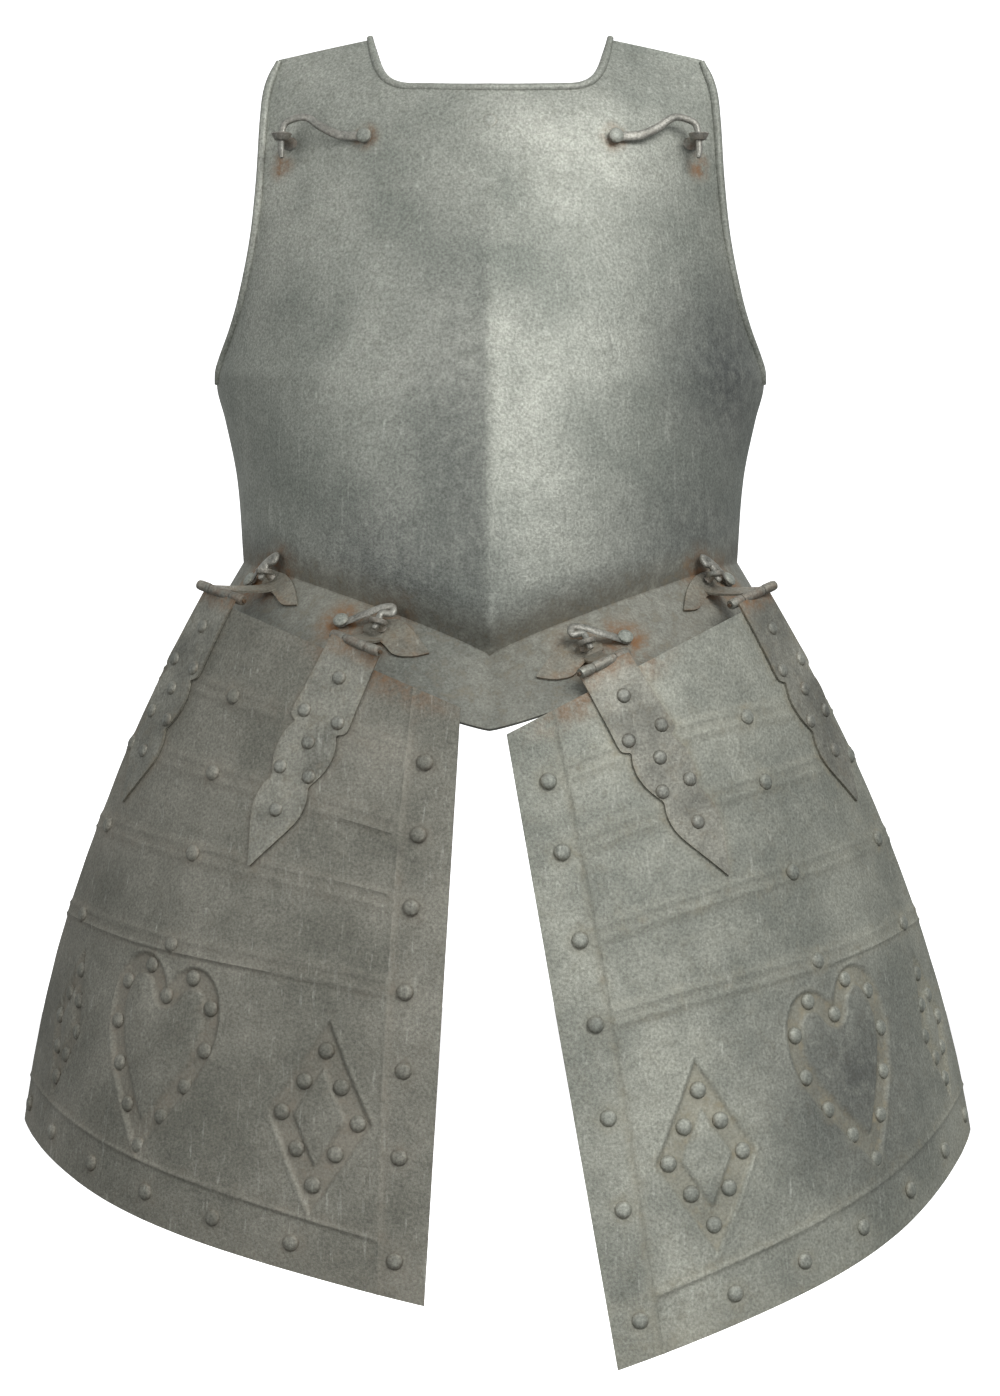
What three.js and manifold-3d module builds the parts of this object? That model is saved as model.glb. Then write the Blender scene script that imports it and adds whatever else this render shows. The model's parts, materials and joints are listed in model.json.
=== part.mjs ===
// Pikeman's breastplate with a waist flange and a pair of hinged tassets.
// Millimetres, +Z up, the chest faces -Y. The origin is on the median plane at the waist.
import * as THREE from 'three';
import { LoftGeometry } from 'three/addons/geometries/LoftGeometry.js';
import { mergeVertices } from 'three/addons/utils/BufferGeometryUtils.js';
import Module from 'manifold-3d';

const wasm = await Module();
wasm.setup();

// ---- driving dimensions -------------------------------------------------------------
const GAP = 0.3;
const BREAST_WALL = 2.1;
const TASSET_WALL = 1.5;
const STRAP_WALL = 1.5;
const BEAD_RADIUS = 3;
const ARM_ROLL = { swell: 1.7, from: 0.36 };

// Side and arm edge of the breast, by share of the height from waist to shoulder.
const EDGE = [
  // share, half width, depth y
  [0, 167, -8],
  [0.168, 171.5, -6],
  [0.29, 180, -2],
  [0.35, 185.5, 0],
  [0.378, 185, -5],
  [0.41, 181.5, -10],
  [0.464, 173.5, -24],
  [0.524, 166.5, -37],
  [0.638, 158, -48],
  [0.754, 153.5, -52],
  [0.877, 151, -50],
  [0.94, 148.5, -46],
  [1, 141, -42],
];

// Medial keel and the section across it: y falls off as (1 - s^power)^round.
const KEEL = [
  // share, depth y, power, round
  [0, -162, 1.55, 0.55],
  [0.035, -169, 1.5, 0.56],
  [0.08, -172, 1.5, 0.58],
  [0.2, -168, 1.55, 0.6],
  [0.35, -157, 1.65, 0.66],
  [0.55, -136, 1.85, 0.8],
  [0.75, -113, 2.1, 0.95],
  [0.87, -96, 2.3, 1],
  [1, -57, 2.4, 1],
];
const WAIST = { center: 28, rise: 65, power: 0.87 };
const SHOULDER = { center: 453, corner: 427 };
const FLANGE = { halfWidth: 189, side: -6, depth: 195, power: 1.7, round: 0.52 };
const FLANGE_EDGE = { center: -18, rise: 74, power: 1.2 };
const NECK = { half: 77, top: 446, side: 416, floor: 401, dip: 398 };
const PLUG = { z: 376, radius: 5, height: 1.6 };

// Hinged thigh plates: corner places of each side, then the shape that both share.
const TASSETS = {
  right: {
    sign: 1,
    top: { inner: [10.8, -21], outer: [183.3, 67.5] },
    foot: { inner: [78.1, -407], outer: [323.8, -289] },
    sag: 73,
    border: [0.133, 0.056],
    lames: [[0.098, 0.1], [0.21, 0.078], [0.348, 0.088], [0.479, 0.108]],
    straps: { inner: [0.318, 0.36, -0.03], outer: [0.915, 0.02, -0.016] },
    motifs: { heart: [0.595, 0.699, 1], inner: [0.224, 0.7215, 7], outer: [0.903, 0.753, 4] },
  },
  left: {
    sign: -1,
    top: { inner: [18.1, -4.5], outer: [187.7, 68.5] },
    foot: { inner: [39.6, -368], outer: [314, -282] },
    sag: 60,
    border: [0.135, 0.063],
    lames: [[0.113, 0.032], [0.234, 0.04], [0.355, 0.067], [0.494, 0.094]],
    straps: { inner: [0.343, 0.3, -0.03], outer: [0.908, 0.02, -0.016] },
    motifs: { heart: [0.566, 0.707, 4], inner: [0.2, 0.7235, 2], outer: [0.85, 0.749, 4] },
  },
};
const TASSET = {
  innerY: [-201.9, -65, 21],
  outerY: [-93, 72],
  azimuth: { inner: [12, -10], outer: [58, 22] },
  handle: 0.38,
  bow: 18,
  sagPower: 1.2,
  footRise: 0.046,
  border: 0.913,
  ridge: 1.6,
  ridgeHalf: 3.2,
};
// Places across each lame line, by share of the width.
const LAME_RIVETS = [
  [0.078, 0.67],
  [0.075, 0.64, 0.981],
  [0.074, 0.615, 0.945],
  [0.07, 0.595, 0.915],
];
const EDGE_RIVETS = { heights: [0.622, 0.763, 0.932], start: 0.082, lean: 0.035 };
const FOOT_RIVETS = { count: 6, start: 0.22, pitch: 0.147 };
const CHANNEL_DEPTH = 0.8;
const HEART = { rim: [98, 125], ring: [84, 111], core: [70, 96], rivets: 12, points: 12 };
const DIAMOND_INNER = { rim: [69, 121], ring: [50, 82], core: [33, 58], rivets: 8, points: 4 };
const DIAMOND_OUTER = { rim: [46, 104], ring: [33, 72], core: [21, 48], rivets: 8, points: 4 };
const RIVET = { foot: 5.4, crown: 0, height: 3.4, sides: 4 };
const SMALL_RIVET = { foot: 4.8, crown: 0, height: 2.8, sides: 4 };

// Strap hinges: half width along the strap, measured from the hinge pin.
const STRAP = [
  // along, half width
  [1, 20],
  [7, 20],
  [12, 20],
  [56, 20.5],
  [60, 15.4],
  [75, 19],
  [97, 12.8],
  [109, 15.6],
  [127, 11.6],
  [154, 0.6],
];
const STRAP_RIVETS = [
  // along, across
  [25, 0],
  [52, -12.5],
  [52, 12.5],
  [70, 0],
  [90, -10],
  [90, 10],
  [116, 0],
];
// Where the ridges are beaten flat under a strap: along, half width.
const STRAP_SEAT = [
  [11, 20],
  [57, 21.6],
  [76, 19.3],
  [94, 18.4],
  [112, 18.2],
  [128, 14.8],
  [156, 2],
];
const HINGE = { pin: 1.5, bore: 1.9, barrel: 3.4, tongue: 9, half: 20, sides: 6 };
// Leaf outlines and catch places on the flange, as the flange faces the hinge there.
const CATCHES = {
  inner: {
    facing: 20,
    leaf: [
      // aside from the pin's middle, lower edge, upper edge
      [-38, 4, 5],
      [-28, -1, 12],
      [-16, -3, 18],
      [-8, 1, 17],
      [8, 5, 9],
    ],
    stud: [-5, 9],
    pivot: [24, 6],
  },
  outer: {
    facing: 50,
    leaf: [
      [-33, 1, 2],
      [-21, -2, 10],
      [-8, 1, 14],
      [6, 1, 13],
      [13, 6, 8],
    ],
    stud: [1, 8],
    pivot: [24, 1],
  },
};
const STUD = { radius: 3, head: 5.2, hole: 2.7 };
// Middle part of each hook's arm: share of the reach along, share of the crest up.
const SHOULDER_ARM = [[0.3, 0.05], [0.52, 0.45], [0.72, 0.98], [0.92, 0.85]];
const SKIRT_ARM = [[0.3, 0.1], [0.62, 0.4], [0.9, 0.85], [1.14, 1], [1.22, 0.6]];
const SHOULDER_HOOK = { x: 81, z: 367, reach: 51 };
const HOOK = {
  play: 0.8,
  eye: 4.6,
  hole: 2.3,
  thick: 1.8,
  lift: 1.2,
  post: 1.8,
  head: 4,
  headHeight: 1.8,
};

// ---- solids -------------------------------------------------------------------------
const vec = (x, y, z) => new THREE.Vector3(x, y, z);
const lerp = THREE.MathUtils.lerp;
const rad = THREE.MathUtils.degToRad;

// Turns a closed three.js geometry into a manifold solid that faces outwards.
function solid(source) {
  const bare = new THREE.BufferGeometry();
  bare.setAttribute('position', source.getAttribute('position').clone());
  bare.setIndex(source.index ? source.index.clone() : null);
  const merged = mergeVertices(bare, 1e-4);
  const position = merged.getAttribute('position');
  const index = merged.index.array;
  const corner = (i) => new THREE.Vector3().fromBufferAttribute(position, i);
  const kept = [];
  let volume = 0;
  for (let i = 0; i < index.length; i += 3) {
    const [a, b, c] = [index[i], index[i + 1], index[i + 2]];
    if (a === b || b === c || c === a) continue;
    kept.push(a, b, c);
    volume += corner(a).dot(corner(b).cross(corner(c)));
  }
  if (volume < 0) kept.reverse();
  return new wasm.Manifold(new wasm.Mesh({
    numProp: 3,
    vertProperties: new Float32Array(position.array),
    triVerts: new Uint32Array(kept),
  }));
}

function geometryOf(manifold) {
  const mesh = manifold.getMesh();
  const geometry = new THREE.BufferGeometry();
  geometry.setAttribute('position', new THREE.BufferAttribute(mesh.vertProperties, 3));
  geometry.setIndex(new THREE.BufferAttribute(mesh.triVerts, 1));
  geometry.computeVertexNormals();
  return geometry;
}

const union = (solids) => solids.reduce((whole, next) => whole.add(next));

// Reads a table of rows [key, value, ...] at a key, with a smooth curve through the rows.
function smooth(table, key) {
  const last = table.length - 1;
  let row = 0;
  while (row < last - 1 && key > table[row + 1][0]) row += 1;
  const [k0, k1] = [table[row][0], table[row + 1][0]];
  const span = k1 - k0;
  const t = THREE.MathUtils.clamp((key - k0) / span, -1, 2);
  const slope = (i, c) => {
    const [before, after] = [table[Math.max(i - 1, 0)], table[Math.min(i + 1, last)]];
    return (after[c] - before[c]) / (after[0] - before[0]);
  };
  return table[row].slice(1).map((_, i) => {
    const c = i + 1;
    const [p0, p1] = [table[row][c], table[row + 1][c]];
    const [m0, m1] = [slope(row, c) * span, slope(row + 1, c) * span];
    return p0 * (2 * t ** 3 - 3 * t ** 2 + 1) + m0 * (t ** 3 - 2 * t ** 2 + t)
      + p1 * (3 * t ** 2 - 2 * t ** 3) + m1 * (t ** 3 - t ** 2);
  });
}

// Outward normals of a grid whose columns run to +X and whose rows run down.
function gridNormals(grid) {
  const last = grid.length - 1;
  return grid.map((column, i) => column.map((_, j) => {
    const across = vec().subVectors(grid[Math.min(i + 1, last)][j], grid[Math.max(i - 1, 0)][j]);
    const below = column[Math.min(j + 1, column.length - 1)];
    const down = vec().subVectors(below, column[Math.max(j - 1, 0)]);
    return down.cross(across).normalize();
  }));
}

// A sheet metal plate: loops run down the front skin and back up the rear skin.
function plate(grid, front, back, swell = () => 0) {
  const last = grid.length - 1;
  const middle = (front + back) / 2;
  const normals = gridNormals(grid);
  const skin = (i, offset) => grid[i].map((point, j) => {
    const side = offset === middle ? 0 : Math.sign(offset - middle);
    return point.clone().addScaledVector(normals[i][j], offset + side * swell(i, j));
  });
  const loop = (i, a, b) => [...skin(i, a), ...skin(i, b).reverse()];
  const sections = [
    loop(0, middle, middle),
    ...grid.map((_, i) => loop(i, front, back)),
    loop(last, middle, middle),
  ];
  return solid(new LoftGeometry(sections, { closed: true }));
}

// A round bar along a smooth path, with its radius given at each path point.
function bar(points, radii, segments, sides) {
  const path = new THREE.CatmullRomCurve3(points);
  const frames = path.computeFrenetFrames(segments, false);
  const table = radii.map((radius, i) => [i / (radii.length - 1), radius]);
  const rings = [];
  for (let i = 0; i <= segments; i += 1) {
    const t = i / segments;
    const center = path.getPoint(path.getUtoTmapping(t));
    const [radius] = smooth(table, path.getUtoTmapping(t));
    rings.push(Array.from({ length: sides }, (_, k) => {
      const angle = (k + 0.5) / sides * Math.PI * 2;
      return center.clone()
        .addScaledVector(frames.normals[i], radius * Math.cos(angle))
        .addScaledVector(frames.binormals[i], radius * Math.sin(angle));
    }));
  }
  return solid(new LoftGeometry(rings, { closed: true, capStart: true, capEnd: true }));
}

// A cylinder or cone frustum from a point along a direction.
function post(start, direction, length, footRadius, topRadius, sides) {
  const geometry = new THREE.CylinderGeometry(topRadius, footRadius, length, sides);
  geometry.translate(0, length / 2, 0);
  const turn = new THREE.Quaternion().setFromUnitVectors(vec(0, 1, 0), direction);
  geometry.applyQuaternion(turn);
  geometry.translate(start.x, start.y, start.z);
  return solid(geometry);
}

function rivet(point, normal, size) {
  const sunk = size.sunk ?? 1.2;
  const foot = point.clone().addScaledVector(normal, -sunk);
  return post(foot, normal, size.height + sunk, size.foot, size.crown, size.sides);
}

// ---- breast and flange ----------------------------------------------------------------
const waistZ = (s) => WAIST.center + WAIST.rise * Math.abs(s) ** WAIST.power;
const shoulderZ = (s) => lerp(SHOULDER.center, SHOULDER.corner, Math.abs(s));

// Point of the breast: s runs from -1 to 1 across, t from the waist crease up.
function breastPoint(s, t) {
  const [halfWidth, side] = smooth(EDGE, t);
  const [keel, power, round] = smooth(KEEL, t);
  const bulge = Math.max(1 - Math.abs(s) ** power, 0) ** round;
  return vec(s * halfWidth, lerp(side, keel, bulge), lerp(waistZ(s), shoulderZ(s), t));
}

// Point of the waist flange: f runs from the crease to the lower edge.
function flangePoint(s, f) {
  const crease = breastPoint(s, 0);
  const bulge = Math.max(1 - Math.abs(s) ** FLANGE.power, 0) ** FLANGE.round;
  const z = FLANGE_EDGE.center + FLANGE_EDGE.rise * Math.abs(s) ** FLANGE_EDGE.power;
  const edge = vec(s * FLANGE.halfWidth, FLANGE.side - FLANGE.depth * bulge, z);
  return crease.lerp(edge, f);
}

// Finds the surface point in line with a target, seen square to two directions, and its normal.
function surfaceAt(surface, target, right = vec(1, 0, 0), rise = vec(0, 0, 1)) {
  const step = 1e-3;
  const limit = 0.99;
  let [s, w] = [THREE.MathUtils.clamp(target.x / 180, -0.9, 0.9), 0.5];
  for (let i = 0; i < 60; i += 1) {
    const here = surface(s, w);
    const miss = target.clone().sub(here);
    const ds = surface(s + step, w).sub(here);
    const dw = surface(s, w + step).sub(here);
    const [a, b, c, d] = [ds.dot(right), dw.dot(right), ds.dot(rise), dw.dot(rise)];
    const [x, y] = [miss.dot(right), miss.dot(rise)];
    const det = (a * d - b * c) / step;
    s = THREE.MathUtils.clamp(s + 0.7 * (x * d - b * y) / det, -limit, limit);
    w = THREE.MathUtils.clamp(w + 0.7 * (a * y - c * x) / det, 0, 1);
  }
  const point = surface(s, w);
  const across = surface(s + step, w).sub(point);
  const along = surface(s, w + step).sub(point);
  const normal = across.cross(along).normalize();
  return { point, normal: normal.y > 0 ? normal.negate() : normal };
}

function neckShape() {
  const { half, top, side, floor, dip } = NECK;
  const shape = new THREE.Shape();
  shape.moveTo(-half - 3, top + 30);
  shape.lineTo(-half - 3, top);
  shape.bezierCurveTo(-half + 3, side, -half + 4, floor, -half * 0.62, floor);
  shape.quadraticCurveTo(0, dip, half * 0.62, floor);
  shape.bezierCurveTo(half - 4, floor, half - 3, side, half + 3, top);
  shape.lineTo(half + 3, top + 30);
  return shape;
}

function breastplate() {
  const columns = 20;
  const breastRows = [1, 0.93, 0.85, 0.74, 0.62, 0.52, 0.45, 0.41, 0.375, 0.35, 0.28, 0.17, 0.08,
    0.03];
  const flangeRows = [0, 0.35, 1];
  const grid = [];
  for (let i = 0; i <= columns; i += 1) {
    const s = Math.sin((i / columns * 2 - 1) * Math.PI / 2);
    grid.push([
      ...breastRows.map((t) => breastPoint(s, t)),
      ...flangeRows.map((f) => flangePoint(s, f)),
    ]);
  }
  const neck = new THREE.ExtrudeGeometry(neckShape(), { depth: 200, curveSegments: 6 });
  neck.rotateX(Math.PI / 2);
  const armRows = breastRows.filter((t) => t >= ARM_ROLL.from).length;
  const roll = (i, j) => ((i === 0 || i === columns) && j < armRows ? ARM_ROLL.swell : 0);
  const shell = plate(grid, 0, -BREAST_WALL, roll).subtract(solid(neck));
  return union([shell, neckBead(), ...breastRivets()]);
}

function neckBead() {
  const outline = neckShape().getPoints(6).slice(1, -1);
  const path = outline.map((p) => {
    const { point, normal } = surfaceAt(breastPoint, vec(p.x, 0, Math.min(p.y, NECK.top - 2)));
    return point.addScaledVector(normal, -BREAST_WALL / 2);
  });
  return bar(path, path.map(() => BEAD_RADIUS), 16, 4);
}

// The pivots of the six hooks and the plug at the middle of the chest.
function breastRivets() {
  const plug = surfaceAt(breastPoint, vec(0, 0, PLUG.z));
  const plugSize = { foot: PLUG.radius, crown: PLUG.radius * 0.5, height: PLUG.height, sides: 6 };
  const pivots = HOOKS.flatMap(({ frame }) => {
    const neckLength = HOOK.lift + HOOK.thick + HOOK.play;
    const foot = frame.at(0, 0, -1.4);
    const headFoot = frame.at(0, 0, neckLength);
    return [
      post(foot, frame.out, neckLength + 1.6, HOOK.post, HOOK.post, 6),
      post(headFoot, frame.out, HOOK.headHeight, HOOK.head, HOOK.head * 0.6, 6),
    ];
  });
  return [rivet(plug.point, plug.normal, plugSize), ...pivots];
}

// ---- tassets ----------------------------------------------------------------------------
// Point of a thigh plate: u runs from the inner edge to the outer, v from the top to the foot.
function tassetPoint(spec, u, v) {
  const { innerY, outerY, azimuth, handle, bow, sagPower } = TASSET;
  const innerX = lerp(spec.top.inner[0], spec.foot.inner[0], v);
  const outerX = lerp(spec.top.outer[0], spec.foot.outer[0], v) + bow * 4 * v * (1 - v);
  const inner = new THREE.Vector2(innerX, innerY[0] + innerY[1] * v + innerY[2] * v * v);
  const outer = new THREE.Vector2(outerX, outerY[0] + outerY[1] * v);
  const reach = inner.distanceTo(outer) * handle;
  const innerAngle = rad(azimuth.inner[0] + azimuth.inner[1] * v);
  const outerAngle = rad(azimuth.outer[0] + azimuth.outer[1] * v);
  const plan = new THREE.CubicBezierCurve(
    inner,
    new THREE.Vector2(Math.cos(innerAngle), Math.sin(innerAngle)).multiplyScalar(reach).add(inner),
    new THREE.Vector2(-Math.cos(outerAngle), -Math.sin(outerAngle)).multiplyScalar(reach).add(outer),
    outer,
  ).getPoint(u);
  const share = (plan.x - innerX) / (outerX - innerX);
  const innerZ = lerp(spec.top.inner[1], spec.foot.inner[1], v);
  const outerZ = lerp(spec.top.outer[1], spec.foot.outer[1], v);
  const drop = spec.sag * Math.max(v, 0) ** sagPower * share * (1 - share ** 4);
  return vec(spec.sign * plan.x, plan.y, lerp(innerZ, outerZ, share) - drop);
}

// Point, outward normal and millimetres per unit of u and v.
function tassetFrame(spec, u, v) {
  const step = 0.01;
  const across = tassetPoint(spec, u + step, v).sub(tassetPoint(spec, u - step, v));
  const down = tassetPoint(spec, u, v + step).sub(tassetPoint(spec, u, v - step));
  const normal = vec().crossVectors(down, across).multiplyScalar(spec.sign).normalize();
  const [perU, perV] = [across.length() / (2 * step), down.length() / (2 * step)];
  return { point: tassetPoint(spec, u, v), normal, perU, perV };
}

const arch = (u) => Math.sin(Math.PI * u);
const footV = (u) => 1 - TASSET.footRise * arch(u);
const borderV = (u) => TASSET.border - TASSET.footRise * arch(u);

// Rows of the plate: each follows a lame line or the curved foot, with its relief.
function tassetRows(spec) {
  const half = TASSET.ridgeHalf / 400;
  const crest = TASSET.ridge;
  const lame = ([v, rise]) => [-1, 0, 1].map((side) => ({
    at: (u) => v + rise * u * u + side * half,
    relief: side === 0 ? crest : 0,
  }));
  const last = spec.lames[3];
  const share = (k) => ({
    at: (u) => lerp(last[0] + last[1] * u * u, borderV(u), k),
    relief: 0,
  });
  return [
    { at: () => 0, relief: 0 },
    ...lame(spec.lames[0]),
    ...lame(spec.lames[1]),
    ...lame(spec.lames[2]),
    ...lame(last),
    share(0.5),
    ...[-1, 0, 1].map((side) => ({
      at: (u) => borderV(u) + side * half,
      relief: side === 0 ? crest : 0,
    })),
    { at: footV, relief: 0 },
  ];
}

function tassetPlate(spec) {
  const rows = tassetRows(spec);
  const half = TASSET.ridgeHalf / 350;
  const inner = (side) => ({
    at: (v) => spec.border[0] - spec.border[1] * v + side * half,
    relief: side === 0 ? TASSET.ridge : 0,
    margin: side < 0,
  });
  const plain = [0.25, 0.38, 0.5, 0.62, 0.72, 0.81, 0.9, 1];
  const columns = [
    { at: () => 0, relief: 0, margin: true },
    inner(-1),
    inner(0),
    inner(1),
    ...plain.map((u) => ({ at: () => u, relief: 0 })),
  ];
  const flat = columns.map((column) => rows.map((row) => {
    const v = row.at(column.at(row.at(0.1)));
    const u = column.at(v);
    return { u, v: row.at(u), relief: column.margin ? 0 : Math.max(row.relief, column.relief) };
  }));
  const grid = flat.map((column) => column.map(({ u, v, relief }) => {
    const { point, normal } = tassetFrame(spec, u, v);
    return point.addScaledVector(normal, relief);
  }));
  if (spec.sign < 0) grid.reverse();
  let shell = plate(grid, 0, -TASSET_WALL);
  for (const cutter of [...channels(spec), ...strapSeats(spec)]) shell = shell.subtract(cutter);
  return union([shell, ...tassetRivets(spec)]);
}

function heartShape([width, height]) {
  const [w, h] = [width / 2, height / 2];
  const shape = new THREE.Shape();
  shape.moveTo(0, h * 0.72);
  shape.bezierCurveTo(w * 0.2, h * 1.12, w * 0.95, h * 1.12, w, h * 0.5);
  shape.bezierCurveTo(w * 1.04, 0, w * 0.45, -h * 0.45, 0, -h);
  shape.bezierCurveTo(-w * 0.45, -h * 0.45, -w * 1.04, 0, -w, h * 0.5);
  shape.bezierCurveTo(-w * 0.95, h * 1.12, -w * 0.2, h * 1.12, 0, h * 0.72);
  return shape;
}

function diamondShape([width, height]) {
  const [w, h] = [width / 2, height / 2];
  const shape = new THREE.Shape();
  shape.moveTo(0, h);
  shape.lineTo(w, 0);
  shape.lineTo(0, -h);
  shape.lineTo(-w, 0);
  shape.lineTo(0, h);
  return shape;
}

function motifs(spec) {
  return [
    { place: spec.motifs.heart, size: HEART, outline: heartShape },
    { place: spec.motifs.inner, size: DIAMOND_INNER, outline: diamondShape },
    { place: spec.motifs.outer, size: DIAMOND_OUTER, outline: diamondShape },
  ];
}

// Lays a drawn point, in millimetres about a motif's middle, on the plate.
function onPlate(spec, [u, v, tilt], point) {
  const { perU, perV } = tassetFrame(spec, u, v);
  const turned = point.clone().rotateAround(new THREE.Vector2(), -rad(tilt));
  return tassetFrame(spec, u + turned.x / perU, v - turned.y / perV);
}

// The sunk bands round the heart and the diamonds, as bodies to cut from the plate.
function channels(spec) {
  const clear = 2;
  return motifs(spec).map(({ place, size, outline }) => {
    const [rim, core] = [size.rim, size.core].map((box) => (
      outline(box).getSpacedPoints(size.points)
    ));
    const corner = (drawn, offset) => {
      const { point, normal } = onPlate(spec, place, drawn);
      return point.addScaledVector(normal, offset);
    };
    const rings = rim.map((_, i) => [
      corner(rim[i], clear),
      corner(rim[i], -CHANNEL_DEPTH),
      corner(core[i], -CHANNEL_DEPTH),
      corner(core[i], clear),
    ]);
    return solid(new LoftGeometry(rings, { closed: true }));
  });
}

// The ridges are beaten flat where the straps lie on them.
function strapSeats(spec) {
  const clear = 4;
  const rows = STRAP_SEAT;
  return ['inner', 'outer'].map((which) => {
    const grid = [-1, 0, 1].map((share) => rows.map(([along, half]) => (
      strapFrame(spec, which, along, share * (half + GAP)).point
    )));
    if (spec.sign < 0) grid.reverse();
    return plate(grid, clear, 0);
  });
}

function tassetRivets(spec) {
  const places = [];
  for (const [index, [v, rise]] of spec.lames.entries()) {
    for (const u of LAME_RIVETS[index]) places.push([u, v + rise * u * u]);
  }
  for (const v of EDGE_RIVETS.heights) places.push([EDGE_RIVETS.start - EDGE_RIVETS.lean * v, v]);
  for (let k = 0; k < FOOT_RIVETS.count; k += 1) {
    const u = FOOT_RIVETS.start + FOOT_RIVETS.pitch * k;
    places.push([u, (borderV(u) + footV(u)) / 2]);
  }
  const border = places.map(([u, v]) => tassetFrame(spec, u, v));
  const rings = motifs(spec).flatMap(({ place, size, outline }) => (
    outline(size.ring).getSpacedPoints(size.rivets).slice(1).map((p) => {
      const frame = onPlate(spec, place, p);
      frame.point.addScaledVector(frame.normal, -CHANNEL_DEPTH);
      return frame;
    })
  ));
  return [
    ...border.map(({ point, normal }) => rivet(point, normal, RIVET)),
    ...rings.map(({ point, normal }) => rivet(point, normal, RIVET)),
  ];
}

// ---- strap hinges -------------------------------------------------------------------------
// Frame on the strap: along from the pin, across towards the outer side of the body.
function strapFrame(spec, which, along, across) {
  const [u0, slope, start] = spec.straps[which];
  const { perU, perV } = tassetFrame(spec, u0, 0.1);
  const v = start + along / perV;
  return tassetFrame(spec, u0 + slope * v + across / perU, v);
}

// Middle of each pin, on the one axis that both hinges of a tasset share.
function hingeAxis(spec) {
  const raise = GAP + STRAP_WALL / 2;
  const [inner, outer] = ['inner', 'outer'].map((which) => {
    const { point, normal } = strapFrame(spec, which, 0, 0);
    return point.addScaledVector(normal, raise);
  });
  return { inner, outer, axis: outer.clone().sub(inner).normalize() };
}

function cylinderOn(center, axis, from, to, radius, sides) {
  return post(center.clone().addScaledVector(axis, from), axis, to - from, radius, radius, sides);
}

function hingeStrap(spec, which) {
  const hinge = hingeAxis(spec);
  const [center, axis] = [hinge[which], hinge.axis];
  const columns = [-1, 0, 1];
  const grid = columns.map((share) => STRAP.map(([along, half]) => (
    strapFrame(spec, which, along, share * half).point
  )));
  if (spec.sign < 0) grid.reverse();
  const sheet = plate(grid, GAP + STRAP_WALL, GAP);
  const rivets = STRAP_RIVETS.map(([along, across]) => {
    const { point, normal } = strapFrame(spec, which, along, across);
    return rivet(point.addScaledVector(normal, GAP + STRAP_WALL), normal, SMALL_RIVET);
  });
  const { barrel, bore, half, tongue, sides } = HINGE;
  const knuckles = [-1, 1].map((side) => {
    const ends = [side * (tongue + 0.4), side * half].sort((a, b) => a - b);
    return cylinderOn(center, axis, ends[0], ends[1], barrel, sides);
  });
  const mouth = cylinderOn(center, axis, -tongue - 0.4, tongue + 0.4, barrel + 0.5, sides);
  const hole = cylinderOn(center, axis, -half - 5, half + 5, bore, sides);
  return union([sheet.subtract(mouth), ...rivets, ...knuckles]).subtract(hole);
}

// A point of the flange behind a place given aside from the pin and up from it, and its normal.
function flangeFrame(spec, which, aside, up) {
  const hinge = hingeAxis(spec);
  const facing = rad(CATCHES[which].facing);
  const right = vec(spec.sign * Math.cos(facing), Math.sin(facing), 0);
  const rise = vec(0, 0, 1);
  const slope = hinge.axis.z / Math.hypot(hinge.axis.x, hinge.axis.y);
  const target = hinge[which].clone()
    .addScaledVector(right, aside)
    .addScaledVector(rise, aside * slope + up);
  return surfaceAt(flangePoint, target, right, rise);
}

function hingeLeaf(spec, which) {
  const hinge = hingeAxis(spec);
  const [center, axis] = [hinge[which], hinge.axis];
  const { barrel, bore, half, tongue, sides } = HINGE;
  const grid = CATCHES[which].leaf.map(([along, low, high]) => [1, 0.5, 0].map((k) => (
    flangeFrame(spec, which, along, lerp(low, high, k)).point
  )));
  if (spec.sign < 0) grid.reverse();
  const leaf = plate(grid, GAP + STRAP_WALL, GAP);
  const lift = GAP + STRAP_WALL / 2;
  const bend = [-tongue + 2.5, tongue - 2.5].map((along) => {
    const rows = [5, 1.5].map((up) => {
      const { point, normal } = flangeFrame(spec, which, along, up);
      return point.addScaledVector(normal, lift);
    });
    return [...rows, center.clone().addScaledVector(axis, along).add(vec(0, 0, barrel * 0.75))];
  });
  if (spec.sign < 0) bend.reverse();
  const arm = plate(bend, STRAP_WALL / 2, -STRAP_WALL / 2);
  const knuckle = cylinderOn(center, axis, -tongue, tongue, barrel, sides);
  const hole = cylinderOn(center, axis, -half, half, bore, sides);
  const stud = studFrame(spec, which);
  const slot = post(stud.point, stud.normal, 8, STUD.radius + 0.5, STUD.radius + 0.5, 6);
  return union([leaf, arm, knuckle]).subtract(hole).subtract(slot);
}

function hingePin(spec, which) {
  const hinge = hingeAxis(spec);
  const reach = HINGE.half + 1.5;
  return cylinderOn(hinge[which], hinge.axis, -reach, reach, HINGE.pin, HINGE.sides);
}

// ---- studs, lugs and swivel hooks -------------------------------------------------------------
const studFrame = (spec, which) => flangeFrame(spec, which, ...CATCHES[which].stud);

// Work frame of a hook at its pivot: along runs to the catch, up across it, out off the plate.
function hookFrame(pivot, catchPoint) {
  const { point, normal } = pivot;
  const reach = catchPoint.clone().sub(point);
  const along = reach.addScaledVector(normal, -reach.dot(normal)).normalize();
  let up = vec().crossVectors(normal, along).normalize();
  if (up.z < 0) up = up.negate();
  const at = (a, b, c) => point.clone()
    .addScaledVector(along, a)
    .addScaledVector(up, b)
    .addScaledVector(normal, c);
  return { at, along, up, out: normal };
}

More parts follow.
